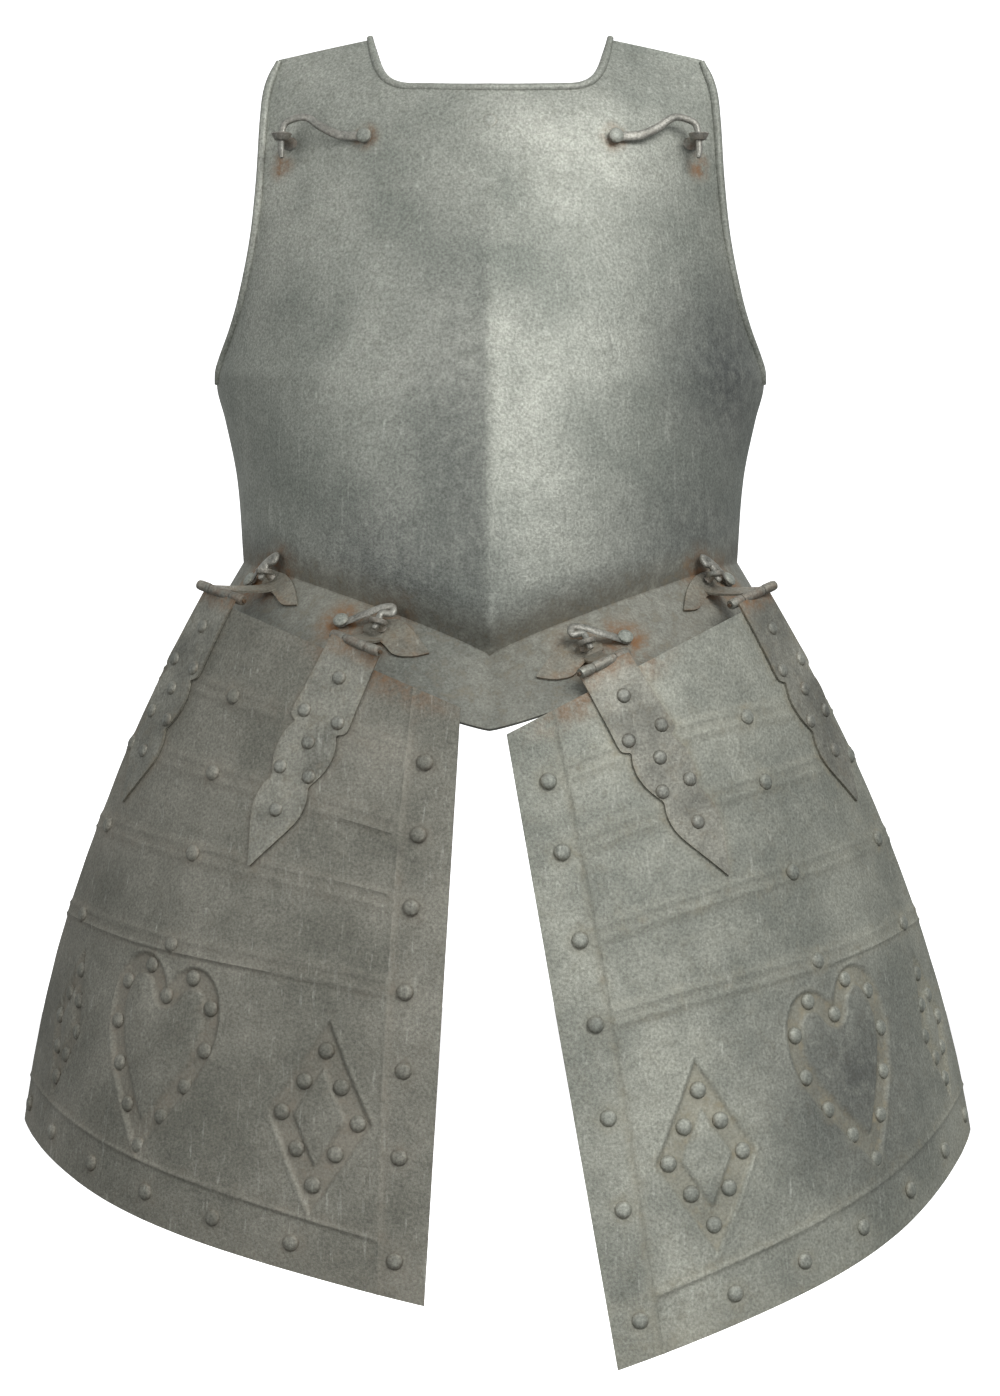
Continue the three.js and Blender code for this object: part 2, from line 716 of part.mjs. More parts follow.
function hookList() {
  const list = [];
  for (const [name, spec] of Object.entries(TASSETS)) {
    const pivot = surfaceAt(breastPoint, vec(spec.sign * SHOULDER_HOOK.x, 0, SHOULDER_HOOK.z));
    const outward = spec.sign * (SHOULDER_HOOK.x + SHOULDER_HOOK.reach);
    const aim = surfaceAt(breastPoint, vec(outward, 0, SHOULDER_HOOK.z));
    list.push({
      name: `shoulder_hook_${name}`,
      frame: hookFrame(pivot, aim.point),
      reach: aim.point.distanceTo(pivot.point),
      drop: 15,
      crest: 13,
      clear: 6.5,
      arm: SHOULDER_ARM,
      spec,
    });
    for (const which of ['inner', 'outer']) {
      const foot = flangeFrame(spec, which, ...CATCHES[which].pivot);
      const stud = studFrame(spec, which);
      list.push({
        name: `skirt_hook_${which}_${name}`,
        frame: hookFrame(foot, stud.point),
        reach: stud.point.distanceTo(foot.point),
        drop: 6,
        crest: 13,
        clear: 8.5,
        arm: SKIRT_ARM,
        spec,
        which,
      });
    }
  }
  return list;
}
const HOOKS = hookList();

// The pin end lies on an arc about the pivot, so the hook swings out of its catch.
function hook({ frame, reach, drop, crest, clear, arm }) {
  const mid = HOOK.lift + HOOK.thick / 2;
  const onArc = (up, out) => {
    const angle = up / reach;
    return frame.at(reach * Math.cos(angle), reach * Math.sin(angle), out);
  };
  const path = [
    frame.at(3, 0, mid),
    ...arm.map(([along, up]) => (
      frame.at(reach * along, crest * up, lerp(mid, clear, Math.min(along * 1.5, 1)))
    )),
    onArc(crest * 0.5, clear),
    onArc(-drop * 0.4, clear),
    onArc(-drop, clear),
  ];
  const radii = [0.8, 2, 1.9, 1.6, 1.3];
  const rod = bar(path, radii, 8, 4);
  const foot = frame.at(0, 0, HOOK.lift);
  const eye = post(foot, frame.out, HOOK.thick, HOOK.eye, HOOK.eye, 7);
  const hole = post(frame.at(0, 0, -1), frame.out, 6, HOOK.hole, HOOK.hole, 6);
  return union([eye, rod]).subtract(hole);
}

// The catch at the shoulder: a base boss and a shelf-like lug, pierced for the hook's pin.
function shoulderLug({ frame, reach, clear }) {
  const foot = surfaceAt(breastPoint, frame.at(reach, 0, 0));
  const slope = frame.out.clone().lerp(foot.normal, 0.5).normalize();
  const base = foot.point.clone().addScaledVector(foot.normal, GAP);
  const boss = post(base, foot.normal, 2.5, 6, 4.5, 6);
  const neck = post(base, slope, clear + 5, 3.4, 3.4, 6);
  const eye = frame.at(reach, 0, clear);
  const shelf = post(eye.clone().addScaledVector(frame.up, -2.5), frame.up, 5, 5, 7, 7);
  const lowest = post(eye.clone().addScaledVector(frame.up, -8), frame.up, 16, 2.6, 2.6, 6);
  const skin = clearance(foot);
  return union([boss, neck, shelf]).subtract(lowest).subtract(skin);
}

// A block that fills everything below the plate's face near a foot.
function clearance({ point, normal }) {
  const start = point.clone().addScaledVector(normal, GAP - 20);
  return post(start, normal, 20, 14, 14, 4);
}

function skirtStud(entry) {
  const { frame, reach, clear, spec, which } = entry;
  const foot = studFrame(spec, which);
  const base = foot.point.clone().addScaledVector(foot.normal, GAP);
  const shank = post(base, foot.normal, clear - 3, STUD.radius, STUD.radius, 6);
  const crown = base.clone().addScaledVector(foot.normal, clear - 4.5);
  const head = post(crown, foot.normal, 8.5, STUD.head * 0.75, STUD.head, 6);
  const eye = frame.at(reach, 0, clear);
  const hole = post(eye.clone().addScaledVector(frame.up, -9), frame.up, 18, STUD.hole, STUD.hole, 6);
  return union([shank, head]).subtract(hole);
}

// ---- assembly -----------------------------------------------------------------------------------
function steel(color, roughness) {
  return new THREE.MeshStandardMaterial({ color, roughness, metalness: 0.85 });
}

const object = new THREE.Group();
object.name = 'steel_breastplate';

function addPart(parent, name, manifold, material) {
  const mesh = new THREE.Mesh(geometryOf(manifold), material);
  mesh.name = name;
  parent.add(mesh);
}

addPart(object, 'breastplate', breastplate(), steel(0x8d9089, 0.62));
for (const [name, spec] of Object.entries(TASSETS)) {
  const side = new THREE.Group();
  side.name = `side_${name}`;
  object.add(side);
  const tint = name === 'left' ? 0x6f7069 : 0x888b83;
  addPart(side, `tasset_plate_${name}`, tassetPlate(spec), steel(tint, 0.66));
  for (const which of ['inner', 'outer']) {
    const tag = `${which}_${name}`;
    addPart(side, `hinge_strap_${tag}`, hingeStrap(spec, which), steel(0x74756e, 0.6));
    addPart(side, `hinge_leaf_${tag}`, hingeLeaf(spec, which), steel(0x77756c, 0.6));
    addPart(side, `hinge_pin_${tag}`, hingePin(spec, which), steel(0x6e5a48, 0.75));
  }
}
for (const entry of HOOKS) {
  addPart(object, entry.name, hook(entry), steel(0x7d7c75, 0.55));
  const isSkirt = Boolean(entry.which);
  const catchName = entry.name.replace('hook', isSkirt ? 'stud' : 'lug');
  const piece = isSkirt ? skirtStud(entry) : shoulderLug(entry);
  addPart(object, catchName, piece, steel(0x77706a, 0.6));
}

export default object;
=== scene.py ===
import functools
import json
import math
import bmesh
import bpy
from mathutils import Matrix, Vector, geometry, noise


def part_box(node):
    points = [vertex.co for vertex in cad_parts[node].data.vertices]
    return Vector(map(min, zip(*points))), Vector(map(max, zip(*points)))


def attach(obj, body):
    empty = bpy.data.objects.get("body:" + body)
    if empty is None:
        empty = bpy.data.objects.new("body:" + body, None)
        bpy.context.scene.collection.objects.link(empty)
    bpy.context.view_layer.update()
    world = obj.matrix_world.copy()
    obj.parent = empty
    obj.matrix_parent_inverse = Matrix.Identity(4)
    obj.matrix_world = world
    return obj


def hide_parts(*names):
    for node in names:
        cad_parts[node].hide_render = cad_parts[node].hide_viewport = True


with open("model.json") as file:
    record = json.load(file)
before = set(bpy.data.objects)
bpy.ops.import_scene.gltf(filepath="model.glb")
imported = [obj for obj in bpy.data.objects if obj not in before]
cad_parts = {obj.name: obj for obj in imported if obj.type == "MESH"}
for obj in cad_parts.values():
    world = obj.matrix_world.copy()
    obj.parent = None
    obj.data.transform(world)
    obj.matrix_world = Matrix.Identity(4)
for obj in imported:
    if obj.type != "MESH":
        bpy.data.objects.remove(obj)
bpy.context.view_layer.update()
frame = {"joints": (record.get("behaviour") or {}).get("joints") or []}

# ---- Camera, floor and light ----
# The armour is held up as it is worn, in the middle of a round pale cove. The camera stands
# level with the waist, 2.3 m in front of it. Large soft lamps stand high on the right and low left.

camera = bpy.data.objects.new("camera", bpy.data.cameras.new("camera"))
bpy.context.scene.collection.objects.link(camera)
camera.location = (0.0065, -2.3, 0.0013)
camera.rotation_euler = (math.radians(90), 0, 0)
camera.data.lens = 87.28
camera.data.clip_start = 0.05
camera.data.clip_end = 60
bpy.context.scene.camera = camera


def linear(code):
    """An sRGB hex colour as linear values."""
    parts = [int(code[i:i + 2], 16) / 255 for i in (0, 2, 4)]
    return [c / 12.92 if c <= 0.04045 else ((c + 0.055) / 1.055) ** 2.4 for c in parts] + [1]


def add(tree, kind, settings, sockets):
    """Adds a node; a socket's value is a number or colour, or the output that feeds it."""
    made = tree.nodes.new(kind)
    for name, value in settings.items():
        setattr(made, name, value)
    for name, value in sockets.items():
        if isinstance(value, bpy.types.NodeSocket):
            tree.links.new(value, made.inputs[name])
        else:
            made.inputs[name].default_value = value
    return made


# Matt white studio paper: it gives a shadowless pale ground.
paper = bpy.data.materials.new("white_studio_paper")
paper.use_nodes = True
paper_shader = paper.node_tree.nodes["Principled BSDF"]
paper_fibre = add(paper.node_tree, "ShaderNodeTexNoise", {}, {"Scale": 900, "Detail": 2})
paper_tone = add(paper.node_tree, "ShaderNodeMix", {"data_type": "RGBA"}, {
    0: paper_fibre.outputs["Fac"], 6: linear("f7f7f6"), 7: linear("fcfcfb")})
paper.node_tree.links.new(paper_tone.outputs[2], paper_shader.inputs["Base Color"])
paper_shader.inputs["Roughness"].default_value = 0.95
paper_shader.inputs["Emission Color"].default_value = linear("ffffff")
paper_shader.inputs["Emission Strength"].default_value = 1.0

cove_bm = bmesh.new()
cove_start = cove_bm.verts.new((0, 0, -0.62))
cove_rim = cove_bm.verts.new((6.5, 0, -0.62))
cove_top = cove_bm.verts.new((6.5, 0, 5.4))
cove_bm.edges.new((cove_start, cove_rim))
cove_bm.edges.new((cove_rim, cove_top))
bmesh.ops.bevel(cove_bm, geom=[cove_rim], offset=2.0, offset_type="OFFSET", affect="VERTICES",
                segments=10, profile=0.5, material=-1)
bmesh.ops.spin(cove_bm, geom=cove_bm.verts[:] + cove_bm.edges[:], cent=(0, 0, 0), axis=(0, 0, 1),
               angle=math.tau, steps=72, use_merge=True)
bmesh.ops.remove_doubles(cove_bm, verts=cove_bm.verts, dist=1e-4)
for face in cove_bm.faces:
    face.smooth = True
cove_mesh = bpy.data.meshes.new("floor")
cove_bm.to_mesh(cove_mesh)
cove_bm.free()
cove_mesh.materials.append(paper)
cove = bpy.data.objects.new("floor", cove_mesh)
bpy.context.scene.collection.objects.link(cove)
cove.visible_glossy = False
cove.visible_diffuse = False
bpy.context.scene.view_settings.view_transform = "Standard"

LAMPS = (
    # name, place in m, size in m, watts
    ("key_right", (1.5, -2.3, 2.0), 1.5, 76),
    ("fill_left", (-2.4, -2.0, 0.9), 1.8, 20),
    ("low_front", (0.5, -3.2, -0.6), 1.6, 26),
    ("back_top", (0.3, 2.6, 2.2), 1.8, 40),
)
for name, place, size, watts in LAMPS:
    lamp = bpy.data.lights.new(name, "AREA")
    lamp.size = size
    lamp.energy = watts
    stand = bpy.data.objects.new(name, lamp)
    stand.location = place
    aim = Vector((0, -0.08, 0)) - Vector(place)
    stand.rotation_euler = aim.to_track_quat("-Z", "Y").to_euler()
    bpy.context.scene.collection.objects.link(stand)

# The room: lighter overhead than at the floor.
world = bpy.data.worlds.new("room")
world.use_nodes = True
room = world.node_tree
direction = add(room, "ShaderNodeTexCoord", {}, {}).outputs["Generated"]
height = add(room, "ShaderNodeSeparateXYZ", {}, {"Vector": direction}).outputs["Z"]
room_light = add(room, "ShaderNodeMapRange", {}, {
    "Value": height, "From Min": -0.5, "From Max": 0.8, "To Min": 0.22, "To Max": 0.74})
room.nodes["Background"].inputs["Color"].default_value = linear("eef1f3")
room.links.new(room_light.outputs["Result"], room.nodes["Background"].inputs["Strength"])
bpy.context.scene.world = world

# ---- Breast and waist flange ----
# One sheet of wrought iron, 2 mm thick, raised over a stake to a medial keel that ends in a
# blunt point above the waist, then turned out in a flange that carries the tasset hinges.

BREAST_WALL = 2.1
BREAST_EDGE = (
    # share of height, half width, depth y
    (0, 167, -8), (0.168, 171.5, -6), (0.29, 180, -2), (0.35, 185.5, 0), (0.378, 185, -5),
    (0.41, 181.5, -10), (0.464, 173.5, -24), (0.524, 166.5, -37), (0.638, 158, -48),
    (0.754, 153.5, -52), (0.877, 151, -50), (0.94, 148.5, -46), (1, 141, -42),
)
BREAST_KEEL = (
    # share of height, depth y, power, roundness
    (0, -162, 1.55, 0.55), (0.035, -169, 1.5, 0.56), (0.08, -172, 1.5, 0.58),
    (0.2, -168, 1.55, 0.6), (0.35, -157, 1.65, 0.66), (0.55, -136, 1.85, 0.8),
    (0.75, -113, 2.1, 0.95), (0.87, -96, 2.3, 1), (1, -57, 2.4, 1),
)
NECK_HALF = 77
NECK_FLOOR = 401
NECK_TIP = (80, 438.3)
NECK_SHARE = 0.45
NECK_BLEND = 0.62


def lerp(a, b, k):
    return a + (b - a) * k


def ease(low, high, value):
    """0 below low, 1 above high, smooth between."""
    k = min(max((value - low) / (high - low), 0), 1)
    return k * k * (3 - 2 * k)


@functools.cache
def smooth(table, key):
    """Reads a table of rows (key, value, ...) with a smooth curve through the rows."""
    last = len(table) - 1
    row = 0
    while row < last - 1 and key > table[row + 1][0]:
        row += 1
    span = table[row + 1][0] - table[row][0]
    t = min(max((key - table[row][0]) / span, 0), 1)

    def slope(i, column):
        before, after = table[max(i - 1, 0)], table[min(i + 1, last)]
        return (after[column] - before[column]) / (after[0] - before[0]) * span

    return [
        table[row][c] * (2 * t ** 3 - 3 * t ** 2 + 1) + slope(row, c) * (t ** 3 - 2 * t ** 2 + t)
        + table[row + 1][c] * (3 * t ** 2 - 2 * t ** 3) + slope(row + 1, c) * (t ** 3 - t ** 2)
        for c in range(1, len(table[0]))
    ]


def waist_z(s):
    return 28 + 65 * abs(s) ** 0.87


def breast_point(s, t):
    """Point of the breast in mm: s from -1 to 1 across, t from the waist crease up."""
    half, side = smooth(BREAST_EDGE, t)
    keel, power, roundness = smooth(BREAST_KEEL, t)
    bulge = max(1 - abs(s) ** power, 0) ** roundness
    return Vector((s * half, lerp(side, keel, bulge), lerp(waist_z(s), lerp(453, 427, abs(s)), t)))


def flange_point(s, f):
    """Point of the waist flange: f from the crease to the lower edge."""
    bulge = max(1 - abs(s) ** 1.7, 0) ** 0.52
    edge = Vector((s * 189, -6 - 195 * bulge, -18 + 74 * abs(s) ** 1.2))
    return breast_point(s, 0).lerp(edge, f)


def surface_at(surface, target, right=Vector((1, 0, 0)), rise=Vector((0, 0, 1))):
    """The surface point in line with a target, seen square to two directions, and its normal."""
    s, w, step = max(min(target.x / 180, 0.9), -0.9), 0.5, 1e-3
    for _ in range(60):
        here = surface(s, w)
        miss = target - here
        ds, dw = surface(s + step, w) - here, surface(s, w + step) - here
        a, b, c, d = ds.dot(right), dw.dot(right), ds.dot(rise), dw.dot(rise)
        x, y = miss.dot(right), miss.dot(rise)
        det = (a * d - b * c) / step
        s = max(min(s + 0.7 * (x * d - b * y) / det, 0.99), -0.99)
        w = max(min(w + 0.7 * (a * y - c * x) / det, 1), 0)
    point = surface(s, w)
    normal = (surface(s + step, w) - point).cross(surface(s, w + step) - point).normalized()
    return point, (-normal if normal.y > 0 else normal)


neck_wall = geometry.interpolate_bezier(
    Vector((*NECK_TIP, 0)), Vector((NECK_HALF - 3, 416, 0)),
    Vector((NECK_HALF - 4, NECK_FLOOR, 0)), Vector((NECK_HALF * 0.62, NECK_FLOOR, 0)), 40)
neck_floor = geometry.interpolate_bezier(
    Vector((NECK_HALF * 0.62, NECK_FLOOR, 0)), Vector((NECK_HALF * 0.2, NECK_FLOOR - 2, 0)),
    Vector((0, 399.5, 0)), Vector((0, 399.5, 0)), 30)
neck_drawn = [(p.x, p.y) for p in neck_wall + neck_floor[1:]]
neck_drawn = [(-x, z) for x, z in neck_drawn] + neck_drawn[-2::-1]


def along_line(points, share):
    """The point at a share of a drawn line's length."""
    lengths = [math.dist(a, b) for a, b in zip(points, points[1:])]
    rest = share * sum(lengths)
    for a, b, length in zip(points, points[1:], lengths):
        if rest <= length:
            return [lerp(p, q, rest / length) for p, q in zip(a, b)]
        rest -= length
    return list(points[-1])


def breast_place(x, z):
    """s and t of the breast at x and z."""
    t = 0.9
    for _ in range(14):
        s = x / smooth(BREAST_EDGE, t)[0]
        t = (z - waist_z(s)) / (lerp(453, 427, abs(s)) - waist_z(s))
    return s, t


@functools.cache
def cut_line(q):
    """s and t along the top edge: shoulder, neck and shoulder, for q from -1 to 1."""
    if abs(q) < NECK_SHARE:
        return breast_place(*along_line(neck_drawn, (q / NECK_SHARE + 1) / 2))
    tip = breast_place(*NECK_TIP)
    k = (abs(q) - NECK_SHARE) / (1 - NECK_SHARE)
    return math.copysign(lerp(tip[0], 1, k), q), lerp(tip[1], 1, k)


def hammered(point, strength=1.0):
    """Shallow hammer marks: depth in mm, 70 mm and 20 mm across."""
    return strength * (0.7 * noise.noise(point / 70) + 0.28 * noise.noise(point / 20))


def near(point, spots):
    """How near a point is to any spot (place, radius in mm): 1 at its middle, 0 beyond."""
    closest = 0
    for place, radius in spots:
        if abs(point.x - place.x) < radius and abs(point.z - place.z) < radius:
            closest = max(closest, 1 - (point - place).length / radius)
    return closest


def turned_to(place, out, across):
    """A work place: x runs across, y along the work and z out of it."""
    out = out.normalized()
    along = out.cross(across).normalized()
    side = along.cross(out).normalized()
    made = Matrix((side, along, out)).transposed().to_4x4()
    made.translation = place
    return made


def sheet(bm, columns, rows, shape, wall, front, finer=None):
    """A sheet of metal from a grid: shape(a, b) gives place, dust, rust, and dark patina and
    painted shade there.
    """
    for name in ("dust", "rust", "patina_and_shade"):
        bm.verts.layers.float.get(name) or bm.verts.layers.float.new(name)
    dust, rust, patina_and_shade = (bm.verts.layers.float[name] for name in ("dust", "rust", "patina_and_shade"))
    before = set(bm.verts)
    bmesh.ops.create_grid(bm, x_segments=columns, y_segments=rows, size=1)
    grid = [vert for vert in bm.verts if vert not in before]
    if finer:
        faces = {face for vert in grid for face in vert.link_faces}
        middles = ((face, face.calc_center_median()) for face in faces)
        chosen = [face for face, p in middles if finer((p.x + 1) / 2, (p.y + 1) / 2)]
        edges = list({edge for face in chosen for edge in face.edges})
        bmesh.ops.subdivide_edges(bm, edges=edges, cuts=1, use_grid_fill=True)
        grid = [vert for vert in bm.verts if vert not in before]
    for vert in grid:
        place = shape((vert.co.x + 1) / 2, (vert.co.y + 1) / 2)
        vert.co, vert[dust], vert[rust], vert[patina_and_shade] = place
    faces = list({face for vert in grid for face in vert.link_faces})
    for face in faces:
        face.normal_update()
    facing = sum((face.normal.dot(front) * face.calc_area() for face in faces))
    if facing < 0:
        bmesh.ops.reverse_faces(bm, faces=faces)
    bmesh.ops.solidify(bm, geom=faces, thickness=wall)


def forged_bar(bm, path, outs, widths, depths, sides=12, rust=0.2):
    """A bar drawn along a path: half widths across it and half depths out of the plate."""
    places = []
    for i, point in enumerate(path):
        forward = (path[min(i + 1, len(path) - 1)] - path[max(i - 1, 0)]).normalized()
        across = forward.cross(outs[i]).normalized()
        out = across.cross(forward).normalized()
        made = Matrix((across * widths[i], out * depths[i], forward)).transposed().to_4x4()
        made.translation = point
        places.append(made)
    layer = bm.verts.layers.float.get("rust") or bm.verts.layers.float.new("rust")
    ring = bmesh.ops.create_circle(bm, segments=sides, radius=1, matrix=places[0])["verts"]
    edges = list({edge for vert in ring for edge in vert.link_edges})
    ends = [edges]
    made = list(ring)
    for before, after in zip(places, places[1:]):
        grown = bmesh.ops.extrude_edge_only(bm, edges=edges)["geom"]
        ring = [item for item in grown if isinstance(item, bmesh.types.BMVert)]
        bmesh.ops.transform(bm, matrix=after @ before.inverted(), verts=ring)
        edges = [item for item in grown if isinstance(item, bmesh.types.BMEdge)
                 and item.verts[0] in ring and item.verts[1] in ring]
        made += ring
    ends.append(edges)
    for loop in ends:
        bmesh.ops.holes_fill(bm, edges=loop, sides=sides)
    faces = list({face for vert in made for face in vert.link_faces})
    bmesh.ops.recalc_face_normals(bm, faces=faces)
    for vert in made:
        vert[layer] = rust
    return made


def rivet(bm, place, out, radius, height, dust=0.25, rust=0.12):
    """A hand-closed rivet: a low domed head with a flattened crown."""
    across = out.orthogonal()
    shape = turned_to(place, out, across) @ Matrix.Diagonal((radius, radius, height, 1))
    # Known fault: this first ball is never moved into place and stays at the origin as a stray.
    bmesh.ops.create_uvsphere(bm, u_segments=14, v_segments=9, radius=1)
    layers = [
        bm.verts.layers.float.get(n) or bm.verts.layers.float.new(n) for n in ("dust", "rust")
    ]
    verts = bmesh.ops.create_uvsphere(bm, u_segments=14, v_segments=9, radius=1)["verts"]
    for vert in verts:
        crown = vert.co.z
        flat = min(crown, 0.78 + 0.3 * (crown - 0.78)) if crown > 0.78 else crown
        vert.co.z = flat
        vert.co.x *= 1 + 0.12 * (1 - abs(crown))
        vert.co.y *= 1 + 0.12 * (1 - abs(crown))
        vert[layers[0]] = dust * ease(0.9, 0.1, crown) if crown < 0.9 else 0
        vert[layers[1]] = rust * (1 - abs(crown))
    bmesh.ops.transform(bm, matrix=shape, verts=verts)


def finished(parts, name, finish, body, slot, *nodes):
    """Joins a piece's parts, brings them from mm to metres and hangs them on their body."""
    bm = bmesh.new()
    for part in parts:
        joined = bpy.data.meshes.new("joined")
        part.to_mesh(joined)
        part.free()
        bm.from_mesh(joined)
        bpy.data.meshes.remove(joined)
    bmesh.ops.scale(bm, vec=(0.001, 0.001, 0.001), verts=bm.verts)
    for face in bm.faces:
        face.smooth = True
    mesh = bpy.data.meshes.new(name)
    bm.to_mesh(mesh)
    bm.free()
    mesh.set_sharp_from_angle(angle=math.radians(42))
    mesh.materials.append(finish)
    piece = bpy.data.objects.new(name, mesh)
    bpy.context.scene.collection.objects.link(piece)
    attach(piece, body)
    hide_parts(*nodes)
    return piece


def aged_iron(name, bare, dark, dirt, cloud_mm, gloss):
    """Old wrought iron: grey patina in clouds, pitted grain, dry dirt in hollows, orange rust, and
    dark patina and painted shade from an attribute.
    """
    made = bpy.data.materials.new(name)
    made.use_nodes = True
    tree = made.node_tree
    shader = tree.nodes["Principled BSDF"]
    place = add(tree, "ShaderNodeTexCoord", {}, {}).outputs["Object"]
    dust = add(tree, "ShaderNodeAttribute", {"attribute_name": "dust"}, {}).outputs["Fac"]
    rust = add(tree, "ShaderNodeAttribute", {"attribute_name": "rust"}, {}).outputs["Fac"]
    patina_and_shade = add(tree, "ShaderNodeAttribute", {"attribute_name": "patina_and_shade"}, {}).outputs["Fac"]
    # Patina clouds, in patches the size of a palm.
    clouds = add(tree, "ShaderNodeTexNoise", {}, {
        "Vector": place, "Scale": 1000 / cloud_mm, "Detail": 7, "Roughness": 0.62})
    cloud_mask = add(tree, "ShaderNodeMapRange", {}, {
        "Value": clouds.outputs["Fac"], "From Min": 0.38, "From Max": 0.66})
    # Spots of heavier corrosion, 9 mm across.
    spots = add(tree, "ShaderNodeTexNoise", {}, {
        "Vector": place, "Scale": 1000 / 9, "Detail": 5, "Roughness": 0.7})
    spot_mask = add(tree, "ShaderNodeMapRange", {}, {
        "Value": spots.outputs["Fac"], "From Min": 0.52, "From Max": 0.74, "To Max": 0.6})
    # Pitted grain, 1.5 mm across.
    grain = add(tree, "ShaderNodeTexNoise", {}, {
        "Vector": place, "Scale": 1000 / 1.7, "Detail": 3, "Roughness": 0.65})
    grain_mask = add(tree, "ShaderNodeMapRange", {}, {
        "Value": grain.outputs["Fac"], "From Min": 0.3, "From Max": 0.7})
    # Long brushed scratches that run down the plate.
    stretch = add(tree, "ShaderNodeMapping", {}, {
        "Vector": place, "Rotation": (0, 0.35, 0), "Scale": (1, 1, 0.06)})
    scratches = add(tree, "ShaderNodeTexNoise", {}, {
        "Vector": stretch.outputs["Vector"], "Scale": 1000 / 3.2, "Detail": 4, "Roughness": 0.6})
    scratch_mask = add(tree, "ShaderNodeMapRange", {}, {
        "Value": scratches.outputs["Fac"], "From Min": 0.6, "From Max": 0.78, "To Max": 0.5})
    tone = add(tree, "ShaderNodeMix", {"data_type": "RGBA"}, {
        0: cloud_mask.outputs["Result"], 6: linear(dark), 7: linear(bare)})
    spotted = add(tree, "ShaderNodeMix", {"data_type": "RGBA"}, {
        0: spot_mask.outputs["Result"], 6: tone.outputs[2], 7: linear(dark)})
    scratched = add(tree, "ShaderNodeMix", {"data_type": "RGBA"}, {
        0: scratch_mask.outputs["Result"], 6: spotted.outputs[2], 7: linear("b9bbb2")})
    # Black patina and painted shade, broken up where the grain stands proud.
    patina_and_shade_break = add(tree, "ShaderNodeMapRange", {}, {
        "Value": spots.outputs["Fac"], "From Min": 0.3, "From Max": 0.6, "To Min": 0.35})
    patina_and_shade_mask = add(tree, "ShaderNodeMath", {"operation": "MULTIPLY", "use_clamp": True}, {
        0: patina_and_shade, 1: patina_and_shade_break.outputs["Result"]})
    patina_and_shade_darkened = add(tree, "ShaderNodeMix", {"data_type": "RGBA"}, {
        0: patina_and_shade_mask.outputs[0], 6: scratched.outputs[2], 7: linear("45494a")})
    grained = add(tree, "ShaderNodeMix", {"data_type": "RGBA", "blend_type": "OVERLAY"}, {
        0: 0.36, 6: patina_and_shade_darkened.outputs[2], 7: grain_mask.outputs["Result"]})
    dust_break = add(tree, "ShaderNodeMath", {"operation": "MULTIPLY_ADD"}, {
        0: clouds.outputs["Fac"], 1: 0.9, 2: -0.12})
    dust_mask = add(tree, "ShaderNodeMath", {"operation": "MULTIPLY", "use_clamp": True}, {
        0: dust, 1: add(tree, "ShaderNodeMath", {"operation": "ADD"}, {
            0: dust_break.outputs[0], 1: spot_mask.outputs["Result"]}).outputs[0]})
    dusty = add(tree, "ShaderNodeMix", {"data_type": "RGBA"}, {
        0: dust_mask.outputs[0], 6: grained.outputs[2], 7: linear(dirt)})
    rust_mask = add(tree, "ShaderNodeMath", {"operation": "MULTIPLY", "use_clamp": True}, {
        0: rust, 1: add(tree, "ShaderNodeMapRange", {}, {
            "Value": spots.outputs["Fac"], "From Min": 0.35, "From Max": 0.62}).outputs["Result"]})
    rusty = add(tree, "ShaderNodeMix", {"data_type": "RGBA"}, {
        0: rust_mask.outputs[0], 6: dusty.outputs[2], 7: linear("7d5632")})
    tree.links.new(rusty.outputs[2], shader.inputs["Base Color"])
    cover = add(tree, "ShaderNodeMath", {"operation": "MAXIMUM"}, {
        0: dust_mask.outputs[0], 1: rust_mask.outputs[0]})
    metal = add(tree, "ShaderNodeMapRange", {}, {
        "Value": cover.outputs[0], "To Min": 0.5, "To Max": 0.12})
    tree.links.new(metal.outputs["Result"], shader.inputs["Metallic"])
    rough = add(tree, "ShaderNodeMath", {"operation": "MULTIPLY_ADD"}, {
        0: cloud_mask.outputs["Result"], 1: -0.09, 2: 1 - gloss})
    rough_dust = add(tree, "ShaderNodeMath", {"operation": "MULTIPLY_ADD", "use_clamp": True}, {
        0: cover.outputs[0], 1: 0.3, 2: rough.outputs[0]})
    tree.links.new(rough_dust.outputs[0], shader.inputs["Roughness"])
    pits = add(tree, "ShaderNodeBump", {}, {
        "Height": grain.outputs["Fac"], "Strength": 0.5, "Distance": 0.0005})
    scale_bump = add(tree, "ShaderNodeBump", {}, {
        "Height": spots.outputs["Fac"], "Strength": 0.5, "Distance": 0.0012,
        "Normal": pits.outputs["Normal"]})
    tree.links.new(scale_bump.outputs["Normal"], shader.inputs["Normal"])
    return made


# Wrought iron under old grey patina: soft broad shine, dry tan dirt where it can't be wiped.
# Its dark patina attribute also brings the breast's painted shade into this material.
breast_iron = aged_iron("patinated_wrought_iron_and_shade", "9fa198", "7d8179", "877e69", 110, 0.38)

hooks = {}
for joint in frame["joints"]:
    if "hook" in joint["name"]:
        out = Vector(joint["axis"])
        hooks[joint["child"]] = {
            "pivot": Vector(joint["pos_m"]) * 1000,
            "out": (-out if out.y > 0 else out).normalized(),
        }
rust_spots = [(hook["pivot"], 26 if "skirt" in name else 13) for name, hook in hooks.items()]
for tag in ("inner_left", "inner_right", "outer_left", "outer_right"):
    low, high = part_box("skirt_stud_" + tag)
    rust_spots.append(((low + high) * 500, 30))
for side in (-1, 1):
    rust_spots.append((Vector((side * 136, -62, 352)), 14))

painted_shade_spots = (
    # middle and radius of the patches painted dark as shade: low left, right flank, low right
    (Vector((-70, -150, 50)), 110),
    (Vector((150, -55, 215)), 85),
    (Vector((140, -75, 60)), 120),
)
